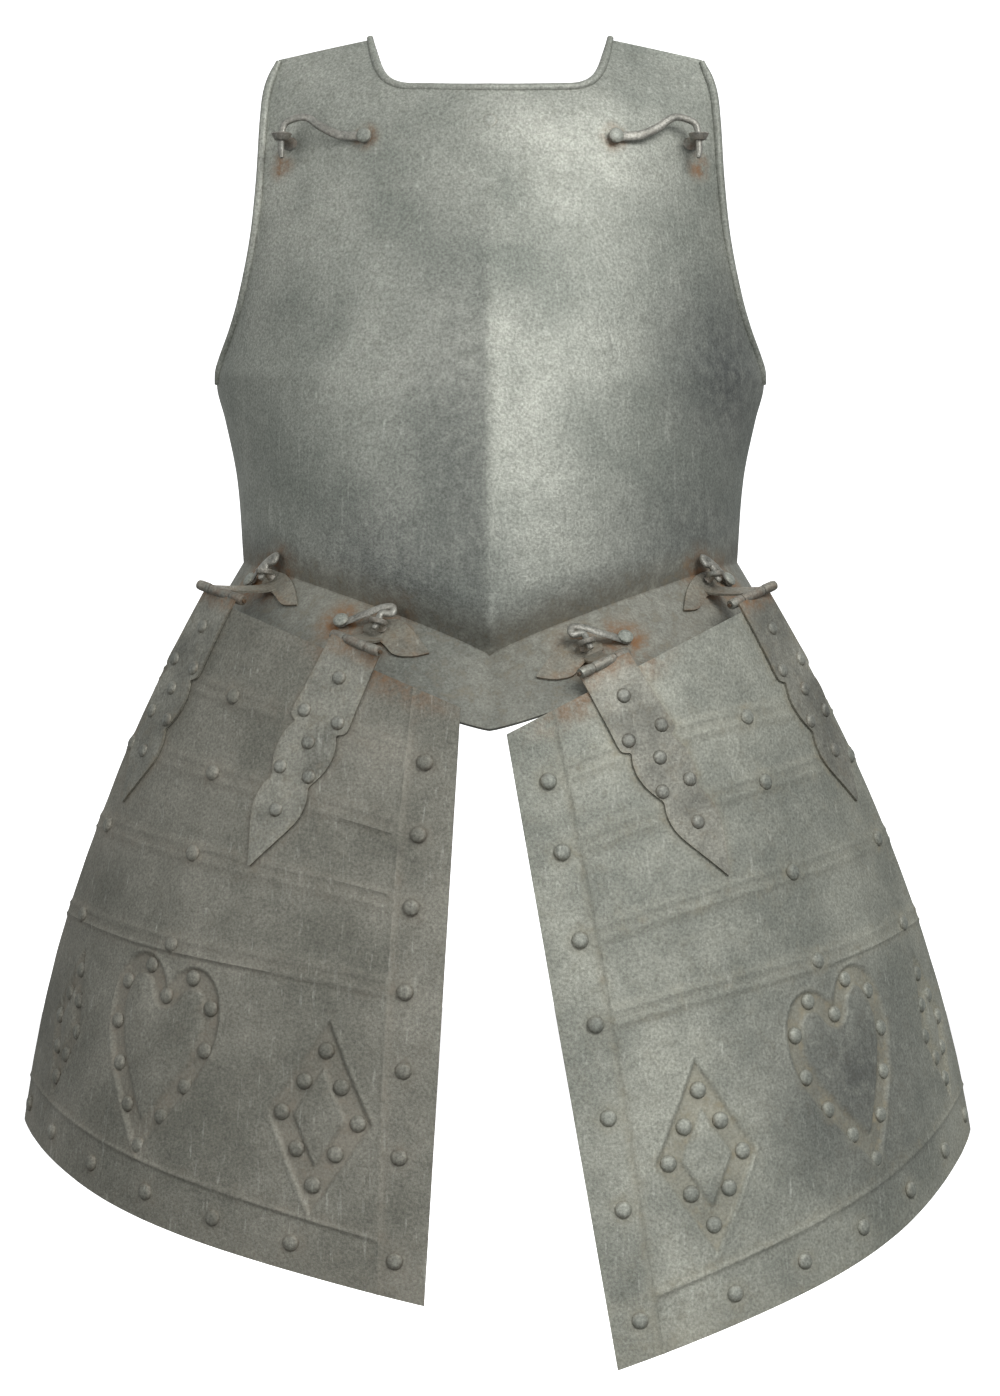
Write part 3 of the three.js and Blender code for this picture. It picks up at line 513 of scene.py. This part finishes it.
# FLANGE_DARK paints the whole waist flange darker.
FLANGE_SOIL, FLANGE_DARK = 0.62, 0.6
KEEL_CREST = 2.6
CREST_SHARPNESS = 22
BREAST_ROWS = 190
TOP_ROWS, LOW_ROWS = 62, 96


def breast_shape(a, b):
    q = a * 2 - 1
    s_low = math.sin(q * math.pi / 2)
    row = (1 - b) * BREAST_ROWS
    if row <= TOP_ROWS:
        s_top, t_top = cut_line(q)
        k = row / TOP_ROWS
        s, t = lerp(s_top, s_low, k), lerp(t_top, NECK_BLEND, k)
        point = breast_point(s, t)
        soil = 0.12
    elif row <= TOP_ROWS + LOW_ROWS:
        s, t = s_low, NECK_BLEND * (1 - (row - TOP_ROWS) / LOW_ROWS)
        point = breast_point(s, t)
        soil = 0.1 + 0.75 * ease(0.07, 0.0, t)
    else:
        s, f = s_low, (row - TOP_ROWS - LOW_ROWS) / (BREAST_ROWS - TOP_ROWS - LOW_ROWS)
        point = flange_point(s, f)
        soil = FLANGE_SOIL
    hollow = near(point, rust_spots)
    point.y -= hammered(point, ease(1.0, 0.93, abs(s)))
    if row <= TOP_ROWS + LOW_ROWS:
        # The keel stands up as a worn crest that sharpens towards the point.
        crest = ease(0.85, 0.25, t) * ease(0.01, 0.05, t)
        point.y -= KEEL_CREST * crest * math.exp(-(s * CREST_SHARPNESS) ** 2)
        # Painted shade: the plate is painted dark just above the waist crease, under the point of
        # the keel, and along the left side of the keel.
        crease_shade = 0.9 * ease(0.1, 0.0, t)
        keel_left_shade = 0.5 * crest * ease(0, -0.03, s) * ease(-0.45, -0.1, s)
        # dark carries this painted shade and the painted shade patches to the material.
        dark = max(near(point, painted_shade_spots), crease_shade, keel_left_shade)
    else:
        dark = FLANGE_DARK
    return point, min(soil + 0.6 * hollow, 1), ease(0.05, 0.9, hollow), dark


breast_bm = bmesh.new()
sheet(breast_bm, 150, BREAST_ROWS, breast_shape, BREAST_WALL, Vector((0, -1, 0)))

# Rolled edges: the rim of the neck and of each arm is turned over a wire.
breast_trim = bmesh.new()
neck_path, neck_outs = [], []
for i in range(61):
    s, t = cut_line(lerp(-NECK_SHARE, NECK_SHARE, i / 60) * 0.999)
    point = breast_point(s, t)
    across, rise = breast_point(s + 1e-3, t) - point, breast_point(s, t + 1e-3) - point
    normal = across.cross(rise).normalized()
    normal = -normal if normal.y > 0 else normal
    curl = 1.5 * ease(0.05, 0, min(i, 60 - i) / 60)
    neck_path.append(point - normal * (BREAST_WALL / 2) + Vector((0, -0.4 * curl, curl)))
    neck_outs.append(normal)
neck_size = [lerp(2.2, 3.1, ease(0, 4, min(i, 60 - i))) for i in range(61)]
forged_bar(breast_trim, neck_path, neck_outs, neck_size, neck_size, rust=0.05)
for side in (-1, 1):
    arm_path = []
    for i in range(61):
        t = lerp(0.995, 0.362, i / 60)
        arm_path.append(breast_point(side * 0.995, t) + Vector((0, -BREAST_WALL * 0.2, 0)))
    arm_outs = [Vector((side * 0.3, -1, 0)) for _ in arm_path]
    arm_size = [lerp(2.0, 3.0, ease(0, 3, min(i, 60 - i))) for i in range(61)]
    forged_bar(breast_trim, arm_path, arm_outs, arm_size, arm_size, rust=0.05)

# The plug at the middle of the chest and the pivots of the six hooks.
plug, plug_out = surface_at(breast_point, Vector((0, 0, 376)))
rivet(breast_trim, plug, plug_out, 4.6, 1.2)
for hook in hooks.values():
    rivet(breast_trim, hook["pivot"] + hook["out"] * 4.0, hook["out"], 4.7, 2.2, rust=0.1)
    forged_bar(breast_trim, [hook["pivot"] + hook["out"] * k for k in (-1.2, 1.5, 4.2)],
               [hook["out"].orthogonal()] * 3, [1.8] * 3, [1.8] * 3, rust=0.5)
finished((breast_bm, breast_trim), "breast_and_flange", breast_iron, "breast",
         "breast_steel", "breastplate")

# ---- Tassets ----
# A pair of thigh plates, each one sheet of 1.5 mm iron beaten to look like five overlapping
# lames, with a riveted border and with a heart between two lozenges sunk along the foot.

TASSET_WALL = 1.5
TASSETS = {
    "right": {
        "sign": 1, "top_inner": (10.8, -21), "top_outer": (183.3, 67.5),
        "foot_inner": (78.1, -407), "foot_outer": (323.8, -289), "sag": 73,
        "border": (0.133, 0.056),
        "lames": ((0.098, 0.1), (0.21, 0.078), (0.348, 0.088), (0.479, 0.108)),
        "straps": {"inner": (0.318, 0.36, -0.03), "outer": (0.915, 0.02, -0.016)},
        "heart": (0.595, 0.699, 1), "inner": (0.224, 0.7215, 7), "outer": (0.903, 0.753, 4),
    },
    "left": {
        "sign": -1, "top_inner": (18.1, -4.5), "top_outer": (187.7, 68.5),
        "foot_inner": (39.6, -368), "foot_outer": (314, -282), "sag": 60,
        "border": (0.135, 0.063),
        "lames": ((0.113, 0.032), (0.234, 0.04), (0.355, 0.067), (0.494, 0.094)),
        "straps": {"inner": (0.343, 0.3, -0.03), "outer": (0.908, 0.02, -0.016)},
        "heart": (0.566, 0.707, 4), "inner": (0.2, 0.7235, 2), "outer": (0.85, 0.749, 4),
    },
}
MOTIFS = (
    # name, rim width and height, rivet ring width and height, band width, rivets
    ("heart", (98, 125), (84, 111), 13.5, 12),
    ("inner", (69, 121), (50, 82), 15.6, 8),
    ("outer", (46, 104), (33, 72), 11.4, 8),
)
LAME_RIVETS = ((0.078, 0.67), (0.075, 0.64, 0.981), (0.074, 0.615, 0.945), (0.07, 0.595, 0.915))
STRAP = (
    # along from the pin, half width
    (1, 20), (7, 20), (12, 20), (40, 20.3), (56, 20.5), (58.5, 18), (60, 15.4), (63, 16.4),
    (68, 18.2), (75, 19), (83, 18), (90, 15.6), (96, 12.9), (98, 13), (103, 14.8), (110, 15.7),
    (118, 15), (127, 11.9), (136, 8), (145, 4.2), (154, 0.6),
)


def tasset_point(spec, u, v):
    """Point of a tasset in mm: u from its inner edge to its outer, v from the top to the foot."""
    inner_x = lerp(spec["top_inner"][0], spec["foot_inner"][0], v)
    outer_x = lerp(spec["top_outer"][0], spec["foot_outer"][0], v) + 18 * 4 * v * (1 - v)
    inner = (inner_x, -201.9 - 65 * v + 21 * v * v)
    outer = (outer_x, -93 + 72 * v)
    reach = math.dist(inner, outer) * 0.38
    turn_in, turn_out = math.radians(12 - 10 * v), math.radians(58 + 22 * v)
    pull_in = (inner[0] + reach * math.cos(turn_in), inner[1] + reach * math.sin(turn_in))
    pull_out = (outer[0] - reach * math.cos(turn_out), outer[1] - reach * math.sin(turn_out))
    shares = ((1 - u) ** 3, 3 * u * (1 - u) ** 2, 3 * u * u * (1 - u), u ** 3)
    pulls = (inner, pull_in, pull_out, outer)
    x, y = (sum(k * p[i] for k, p in zip(shares, pulls)) for i in (0, 1))
    share = (x - inner_x) / (outer_x - inner_x)
    inner_z = lerp(spec["top_inner"][1], spec["foot_inner"][1], v)
    outer_z = lerp(spec["top_outer"][1], spec["foot_outer"][1], v)
    drop = spec["sag"] * max(v, 0) ** 1.2 * share * (1 - share ** 4)
    return Vector((spec["sign"] * x, y, lerp(inner_z, outer_z, share) - drop))


def tasset_frame(spec, u, v):
    """Point, outward normal, and mm per unit of u and of v."""
    point = tasset_point(spec, u, v)
    across = tasset_point(spec, u + 0.004, v) - point
    down = tasset_point(spec, u, v + 0.004) - point
    normal = down.cross(across).normalized() * spec["sign"]
    return point, normal, across.length * 250, down.length * 250


def foot_v(u):
    return 1 - 0.046 * math.sin(math.pi * u)


def border_v(u):
    return 0.913 - 0.046 * math.sin(math.pi * u)


def heart_outline(width, height):
    w, h = width / 2, height / 2
    knots = ((0, 0.72), (0.2, 1.12), (0.95, 1.12), (1, 0.5), (1.04, 0), (0.45, -0.45), (0, -1))
    points = [Vector((x * w, y * h, 0)) for x, y in knots]
    half = geometry.interpolate_bezier(*points[:4], 12)[:-1]
    half += geometry.interpolate_bezier(*points[3:], 12)
    return [(p.x, p.y) for p in half] + [(-p.x, p.y) for p in half[-2::-1]]


def lozenge_outline(width, height):
    w, h = width / 2, height / 2
    return [(0, h), (w, 0), (0, -h), (-w, 0), (0, h)]


def inside_by(x, y, outline):
    """Distance in mm from a closed outline, positive inside it."""
    inside, nearest = False, 1e9
    for (x0, y0), (x1, y1) in zip(outline, outline[1:]):
        dx, dy = x1 - x0, y1 - y0
        k = min(max(((x - x0) * dx + (y - y0) * dy) / (dx * dx + dy * dy), 0), 1)
        nearest = min(nearest, math.hypot(x - x0 - k * dx, y - y0 - k * dy))
        if (y0 > y) != (y1 > y) and x < x0 + (y - y0) * dx / dy:
            inside = not inside
    return nearest if inside else -nearest


def ridge(distance, width):
    return math.exp(-(distance / width) ** 2)


def strap_frame(spec, which, along, across):
    """Frame on the tasset under a strap: along from the pin, across to the outer side."""
    u0, slope, start = spec["straps"][which]
    _, _, per_u, per_v = tasset_frame(spec, u0, 0.1)
    v = start + along / per_v
    return tasset_frame(spec, u0 + slope * v + across / per_u, v)


def embossed(spec, scales, u, v, per_u, per_v):
    """Height in mm of the beaten relief at a point of a tasset, and the dirt it holds."""
    inside_border = (u - spec["border"][0] + spec["border"][1] * v) * per_u
    above_foot = (border_v(u) - v) * per_v
    field = ease(-1, 3, inside_border) * ease(-1, 3, above_foot)
    height = 0.9 * ridge(inside_border, 1.3)
    height += 0.9 * ridge(above_foot, 1.5) * ease(-1, 2, inside_border)
    height -= 0.35 * (1 - field)
    soil = 0.22 + 0.35 * ridge(inside_border + 2.5, 3) + 0.3 * ridge(above_foot - 2.5, 4)
    for start, rise in spec["lames"]:
        off = (v - start - rise * u * u) * per_v
        height += field * (0.4 * ease(6, 3.5, abs(off)) + 0.75 * ridge(abs(off) - 4.4, 1.2))
        soil += field * (0.22 * ridge(abs(off) - 6.5, 2) + 0.25 * ridge(off, 4))
    for which in ("inner", "outer"):
        u0, slope, start = spec["straps"][which]
        strap_u, strap_v = scales[which]
        along, across = (v - start) * strap_v, (u - u0 - slope * v) * strap_u
        if -20 < along < 160 and abs(across) < 30:
            half = smooth(STRAP, min(max(along, 1), 154))[0]
            cover = ease(5, 1, abs(across) - half) * ease(160, 154, along)
            height *= 1 - cover
            soil += 0.5 * ridge(abs(across) - half - 1, 3) * ease(158, 150, along)
    for name, rim, ring, band, _ in MOTIFS:
        u0, v0, tilt = spec[name]
        motif_u, motif_v = scales["at_" + name]
        x, y = (u - u0) * motif_u, (v0 - v) * motif_v
        if abs(x) > rim[0] * 0.62 or abs(y) > rim[1] * 0.6:
            continue
        turn = math.radians(tilt)
        x, y = x * math.cos(turn) - y * math.sin(turn), x * math.sin(turn) + y * math.cos(turn)
        deep = inside_by(x, y, outlines[name])
        if deep < -5:
            continue
        sunk = ease(0, 2.2, deep) * ease(band + 0.6, band - 1.6, deep)
        height += 0.45 * ridge(deep + 0.8, 1.3) - 1.5 * sunk + 0.9 * ease(band, band + 9, deep)
        height += 0.3 * ridge(deep - band - 1, 1.2)
        soil += 0.62 * sunk
    return height, soil


outlines = {
    name: (heart_outline if name == "heart" else lozenge_outline)(*rim)
    for name, rim, _, _, _ in MOTIFS
}


FOOT_START, FOOT_PITCH = 0.22, 0.147


def tasset_rivets(spec):
    """Places of the border rivets, then of the rivets sunk round the three ornaments."""
    places = [
        (u, v + rise * u * u, 0.4)
        for (v, rise), row in zip(spec["lames"], LAME_RIVETS) for u in row
    ]
    places += [(0.082 - 0.035 * v, v, -0.3) for v in (0.622, 0.763, 0.932)]
    foot_row = [FOOT_START + FOOT_PITCH * k for k in range(6)]
    places += [(u, (border_v(u) + foot_v(u)) / 2, -0.3) for u in foot_row]
    for name, _, ring, _, count in MOTIFS:
        u0, v0, tilt = spec[name]
        _, _, per_u, per_v = tasset_frame(spec, u0, v0)
        line = (heart_outline if name == "heart" else lozenge_outline)(*ring)
        turn = math.radians(-tilt)
        for k in range(count):
            x, y = along_line(line, (k + 1) / count)
            x, y = x * math.cos(turn) - y * math.sin(turn), x * math.sin(turn) + y * math.cos(turn)
            places.append((u0 + x / per_u, v0 - y / per_v, -1.4))
    return places


# The left tasset is browner than the right and is painted darker as shade; both are wrought iron
# under patina.
tasset_irons = {
    "right": aged_iron("tasset_iron_grey", "989a90", "777a72", "8f8771", 70, 0.36),
    "left": aged_iron("tasset_iron_brown_shaded", "85847a", "696960", "81786a", 70, 0.36),
}
TASSET_COLUMNS, MARGIN_COLUMNS = 116, 16
TASSET_ROWS = (18, 18, 20, 20, 66, 16)

for side, spec in TASSETS.items():
    scales = {}
    for which, (u0, slope, start) in spec["straps"].items():
        scales[which] = tasset_frame(spec, u0, 0.1)[2:]
    for name, *_ in MOTIFS:
        scales["at_" + name] = tasset_frame(spec, *spec[name][:2])[2:]
    rivets = tasset_rivets(spec)
    rivet_spots = [(tasset_point(spec, u, v), 11) for u, v, _ in rivets]
    dark_heart = tasset_point(spec, *spec["heart"][:2])

    def tasset_place(a, b):
        """u and v of a grid share: grid lines follow the border, the lames and the foot."""
        column, row = a * TASSET_COLUMNS, (1 - b) * sum(TASSET_ROWS)
        u, v = a, 1 - b
        for _ in range(2):
            edge = spec["border"][0] - spec["border"][1] * v
            if column <= MARGIN_COLUMNS:
                k = column / MARGIN_COLUMNS
                u = edge * (k + 0.5 * math.sin(math.pi * k) / math.pi)
            else:
                k = (column - MARGIN_COLUMNS) / (TASSET_COLUMNS - MARGIN_COLUMNS)
                u = lerp(edge, 1, k - 0.35 * math.sin(math.pi * k) / math.pi)
            knots = [0] + [v0 + rise * u * u for v0, rise in spec["lames"]]
            knots += [border_v(u), foot_v(u)]
            rest = row
            for low, high, count in zip(knots, knots[1:], TASSET_ROWS):
                if rest <= count + 1e-6:
                    k = rest / count
                    pinch = 0.3 if count > 30 else 0.7
                    v = lerp(low, high, k - pinch * math.sin(2 * math.pi * k) / (2 * math.pi))
                    break
                rest -= count
        return u, v

    def tasset_shape(a, b):
        u, v = tasset_place(a, b)
        point, normal, per_u, per_v = tasset_frame(spec, u, v)
        height, soil = embossed(spec, scales, u, v, per_u, per_v)
        soil += 0.55 * near(point, rivet_spots) ** 0.7
        soil += 0.3 * ease(0.9, 1, v) + 0.2 * ease(0.75, 1, u)
        rust = 0.75 * ease(0.05, 0, v) * ease(60, 10, abs(point.x - spec["sign"] * 70))
        dark = 0.9 * near(point, ((dark_heart, 95),)) if side == "right" else 0
        return point + normal * (height + hammered(point, 0.8)), min(soil, 1), rust, dark

    def ornamented(a, b):
        u, v = tasset_place(a, b)
        return any(
            abs(u - spec[name][0]) * scales["at_" + name][0] < rim[0] * 0.56
            and abs(v - spec[name][1]) * scales["at_" + name][1] < rim[1] * 0.54
            for name, rim, *_ in MOTIFS)

    bm = bmesh.new()
    sheet(bm, TASSET_COLUMNS, sum(TASSET_ROWS), tasset_shape, TASSET_WALL,
          Vector((0, -1, 0)), ornamented)
    heads = bmesh.new()
    for u, v, lift in rivets:
        point, normal, _, _ = tasset_frame(spec, u, v)
        rivet(heads, point + normal * lift, normal, 5.0, 3.0, dust=0.45)
    finished((bm, heads), "tasset_" + side, tasset_irons[side], "tasset_" + side,
             "tasset_steel_" + side, "tasset_plate_" + side)

# ---- Strap hinges ----
# Two iron straps, scalloped to a point, are riveted down each tasset. Their rolled ends turn
# on a wire pin with the tongue of a leaf that lies on the flange and carries the catch.

GAP = 0.3
STRAP_WALL = 1.5
STRAP_RIVETS = ((25, 0), (52, -12.5), (52, 12.5), (70, 0), (90, -10), (90, 10), (116, 0))
LEAVES = {
    # which: facing, rows of (aside from the pin's middle, lower edge, upper edge)
    "inner": (20, ((-38, 4, 5), (-28, -1, 12), (-16, -3, 18), (-8, 1, 17), (8, 5, 9))),
    "outer": (50, ((-33, 1, 2), (-21, -2, 10), (-8, 1, 14), (6, 1, 13), (13, 6, 8))),
}
BARREL, TONGUE, BARREL_HALF, PIN = 3.4, 9, 20, 1.5
hinge_iron = aged_iron("hinge_strap_iron", "8e8f86", "696a63", "87795f", 35, 0.42)
pin_iron = aged_iron("rusty_pin_wire", "6d6253", "4f463b", "8a6a45", 20, 0.35)


def flange_at(spec, which, hinge, aside, up):
    """The flange behind a place aside from a hinge's middle and up from it, and its normal."""
    facing = math.radians(LEAVES[which][0])
    right = Vector((spec["sign"] * math.cos(facing), math.sin(facing), 0))
    slope = hinge["axis"].z / math.hypot(hinge["axis"].x, hinge["axis"].y)
    target = hinge[which] + right * aside + Vector((0, 0, aside * slope + up))
    return surface_at(flange_point, target, right)


for side, spec in TASSETS.items():
    hinge = {}
    for which in ("inner", "outer"):
        point, normal, _, _ = strap_frame(spec, which, 0, 0)
        hinge[which] = point + normal * (GAP + STRAP_WALL / 2)
    hinge["axis"] = (hinge["outer"] - hinge["inner"]).normalized()
    for which in ("inner", "outer"):
        tag = which + "_" + side
        center, axis = hinge[which], hinge["axis"]

        def strap_shape(a, b):
            along = lerp(154, 1, b)
            half = smooth(STRAP, along)[0]
            point, normal, _, _ = strap_frame(spec, which, along, (a * 2 - 1) * half)
            worn = 0.3 + 0.4 * ease(14, 0, along) + 0.25 * ease(0.8, 1, abs(a * 2 - 1))
            rust = 0.8 * ease(16, 0, along)
            return point + normal * (GAP + STRAP_WALL + hammered(point, 0.25)), worn, rust, 0

        def knuckle(bm, start, end, radius, rust=0.3):
            path = [center + axis * lerp(start, end, k / 6) for k in range(7)]
            outs = [axis.orthogonal()] * 7
            sizes = [radius * (0.9 if k in (0, 6) else 1) for k in range(7)]
            forged_bar(bm, path, outs, sizes, sizes, 18, rust)

        bm = bmesh.new()
        sheet(bm, 12, 120, strap_shape, STRAP_WALL, strap_frame(spec, which, 60, 0)[1])
        trim = bmesh.new()
        for along, across in STRAP_RIVETS:
            point, normal, _, _ = strap_frame(spec, which, along, across)
            rivet(trim, point + normal * (GAP + STRAP_WALL - 0.2), normal, 4.4, 2.7, dust=0.4)
        for sign in (-1, 1):
            knuckle(trim, sign * (TONGUE + 0.4), sign * BARREL_HALF, BARREL)
        finished((bm, trim), "strap_" + tag, hinge_iron, "tasset_" + side,
                 "hinge_steel", "hinge_strap_" + tag)

        leaf = LEAVES[which][1]

        def leaf_shape(a, b):
            aside = lerp(leaf[0][0], leaf[-1][0], a)
            low, high = smooth(leaf, aside)
            point, normal = flange_at(spec, which, hinge, aside, lerp(low, high, b))
            return point + normal * (GAP + STRAP_WALL), 0.6, 0.1 + 0.3 * ease(0.3, 0, b), 0

        def arm_shape(a, b):
            along = lerp(-6.5, 6.5, a)
            low, low_out = flange_at(spec, which, hinge, along, 1.5)
            high, high_out = flange_at(spec, which, hinge, along, 5)
            low, high = low + low_out * 1.8, high + high_out * 1.8
            roll = center + axis * along + Vector((0, -0.5, BARREL * 0.95))
            return high * b * b + low * 2 * b * (1 - b) + roll * (1 - b) ** 2, 0.5, 0.2, 0

        bm = bmesh.new()
        sheet(bm, 20, 7, leaf_shape, STRAP_WALL, flange_at(spec, which, hinge, 0, 4)[1])
        sheet(bm, 4, 6, arm_shape, STRAP_WALL, Vector((0, -1, 0.3)))
        knuckle(bm, -TONGUE, TONGUE, BARREL)
        finished((bm,), "leaf_" + tag, hinge_iron, "breast", "hinge_steel", "hinge_leaf_" + tag)

        bm = bmesh.new()
        knuckle(bm, -BARREL_HALF - 1.5, BARREL_HALF + 1.5, PIN)
        finished((bm,), "pin_" + tag, pin_iron, "breast", "pin_iron", "hinge_pin_" + tag)

# ---- Swivel hooks and their catches ----
# Six hooks forged from bar: a flat eye turns on a rivet and a wavy arm ends in a round pin
# that drops through a pierced lug at the shoulder, or a pierced stud on a hinge leaf.

HOOK_LIFT, HOOK_THICK = 1.2, 1.8
HOOK_STEPS = 48
HOOKS = {
    # kind: drop, crest, clear, rows of (share of the reach, share of the crest)
    "shoulder": (15, 13, 6.5, ((0.3, 0.05), (0.52, 0.45), (0.72, 0.98), (0.92, 0.85))),
    "skirt": (6, 13, 8.5, ((0.3, 0.1), (0.62, 0.4), (0.9, 0.85), (1.14, 1), (1.22, 0.6))),
}
HOOK_BAR = (
    # share along the arm, half width, half depth
    (0, 3.2, 0.9), (0.25, 2.8, 1.1), (0.5, 2.5, 1.7), (0.75, 2.3, 2.0),
    (0.93, 2.1, 1.9), (1, 1.3, 1.2),
)
hook_iron = aged_iron("forged_hook_iron", "9a9a92", "75756e", "8a7350", 18, 0.5)


def eyelet(bm, place, hole, low_rim, high_rim, thick, rust=0.15):
    """A pierced disc, spun from its section about the z axis of its place."""
    layer = bm.verts.layers.float.get("rust") or bm.verts.layers.float.new("rust")
    edge = min(0.5, thick * 0.25)
    section = [
        (hole, -thick / 2), (low_rim - edge, -thick / 2), (low_rim, edge - thick / 2),
        (high_rim, thick / 2 - edge), (high_rim - edge, thick / 2), (hole, thick / 2),
    ]
    ring = [bm.verts.new((r, 0, z)) for r, z in section]
    lines = [bm.edges.new((a, b)) for a, b in zip(ring, ring[1:] + ring[:1])]
    start = len(bm.verts) - len(ring)
    bmesh.ops.spin(bm, geom=ring + lines, cent=(0, 0, 0), axis=(0, 0, 1), angle=math.tau,
                   steps=28, use_merge=True)
    bm.verts.ensure_lookup_table()
    made = bm.verts[start:]
    faces = list({face for vert in made for face in vert.link_faces})
    bmesh.ops.recalc_face_normals(bm, faces=faces)
    bmesh.ops.transform(bm, matrix=place, verts=made)
    for vert in made:
        vert[layer] = rust


def through(points, count):
    """A smooth path of that many points through the given ones."""
    path = []
    for i in range(count):
        at = i / (count - 1) * (len(points) - 1)
        k = min(int(at), len(points) - 2)
        a, b, c, d = (points[min(max(k + j, 0), len(points) - 1)] for j in (-1, 0, 1, 2))
        t = at - k
        path.append(0.5 * (2 * b + (c - a) * t + (2 * a - 5 * b + 4 * c - d) * t * t
                           + (3 * b - a - 3 * c + d) * t ** 3))
    return path


for name, joint_hook in hooks.items():
    pivot, out = joint_hook["pivot"], joint_hook["out"]
    kind = "skirt" if "skirt" in name else "shoulder"
    drop, crest, clear, arm = HOOKS[kind]
    if kind == "shoulder":
        sign = 1 if pivot.x > 0 else -1
        foot, foot_out = surface_at(breast_point, Vector((sign * 132, 0, 367)))
        aim = foot
        catch = name.replace("hook", "lug")
    else:
        catch = name.replace("hook", "stud")
        low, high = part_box(catch)
        middle = (low + high) * 500
        aim = middle - out * 6.4
        foot, foot_out = aim, out
    reach_line = aim - pivot
    reach = reach_line.length
    along = (reach_line - out * reach_line.dot(out)).normalized()
    up = out.cross(along).normalized()
    if up.z < 0:
        up = -up

    def at(a, b, c):
        return pivot + along * a + up * b + out * c

    def on_arc(rise, lift):
        return at(reach * math.cos(rise / reach), reach * math.sin(rise / reach), lift)

    middle_lift = HOOK_LIFT + HOOK_THICK / 2
    path = [at(3, 0, middle_lift)]
    path += [at(reach * a, crest * b, lerp(middle_lift, clear, min(a * 1.5, 1))) for a, b in arm]
    path += [on_arc(crest * 0.5, clear), on_arc(-drop * 0.4, clear), on_arc(-drop, clear)]
    path = through(path, HOOK_STEPS)
    sizes = [smooth(HOOK_BAR, i / (HOOK_STEPS - 1)) for i in range(HOOK_STEPS)]
    bm = bmesh.new()
    forged_bar(bm, path, [out] * HOOK_STEPS, [w for w, _ in sizes], [d for _, d in sizes], 12, 0.1)
    eyelet(bm, turned_to(at(0, 0, middle_lift), out, along), 2.2, 4.7, 4.5, HOOK_THICK)
    finished((bm,), name + "_arm", hook_iron, name, "hook_iron", name)

    bm = bmesh.new()
    eye = at(reach, 0, clear)
    if kind == "shoulder":
        foot = foot + foot_out * 0.3
        stem = [foot, foot.lerp(eye, 0.35) + up * 0.6, foot.lerp(eye, 0.7), foot.lerp(eye, 0.92)]
        forged_bar(bm, through(stem, 10), [up] * 10, [6, 5.2, 4.4, 4, 3.8, 3.6, 3.5, 3.4, 3.3, 3.2],
                   [5, 4.2, 3.4, 3, 2.6, 2.4, 2.3, 2.2, 2.1, 2.0], 14, 0.4)
        eyelet(bm, turned_to(eye, (up + out * 0.25).normalized(), along), 2.6, 5.0, 6.9, 4.6, 0.25)
    else:
        foot = foot + foot_out * 2.0
        stem = [foot, foot.lerp(eye, 0.5), foot.lerp(eye, 0.8)]
        forged_bar(bm, through(stem, 8), [up] * 8, [3.4, 3, 2.8, 2.8, 2.8, 2.9, 3, 3.1],
                   [3.0, 2.6, 2.4, 2.2, 2.1, 2, 1.9, 1.8], 14, 0.35)
        eyelet(bm, turned_to(eye, (up + out * 0.45).normalized(), along), 2.5, 5.6, 5.9, 3.2, 0.2)
    finished((bm,), catch + "_eye", hook_iron, "breast", "hook_iron", catch)
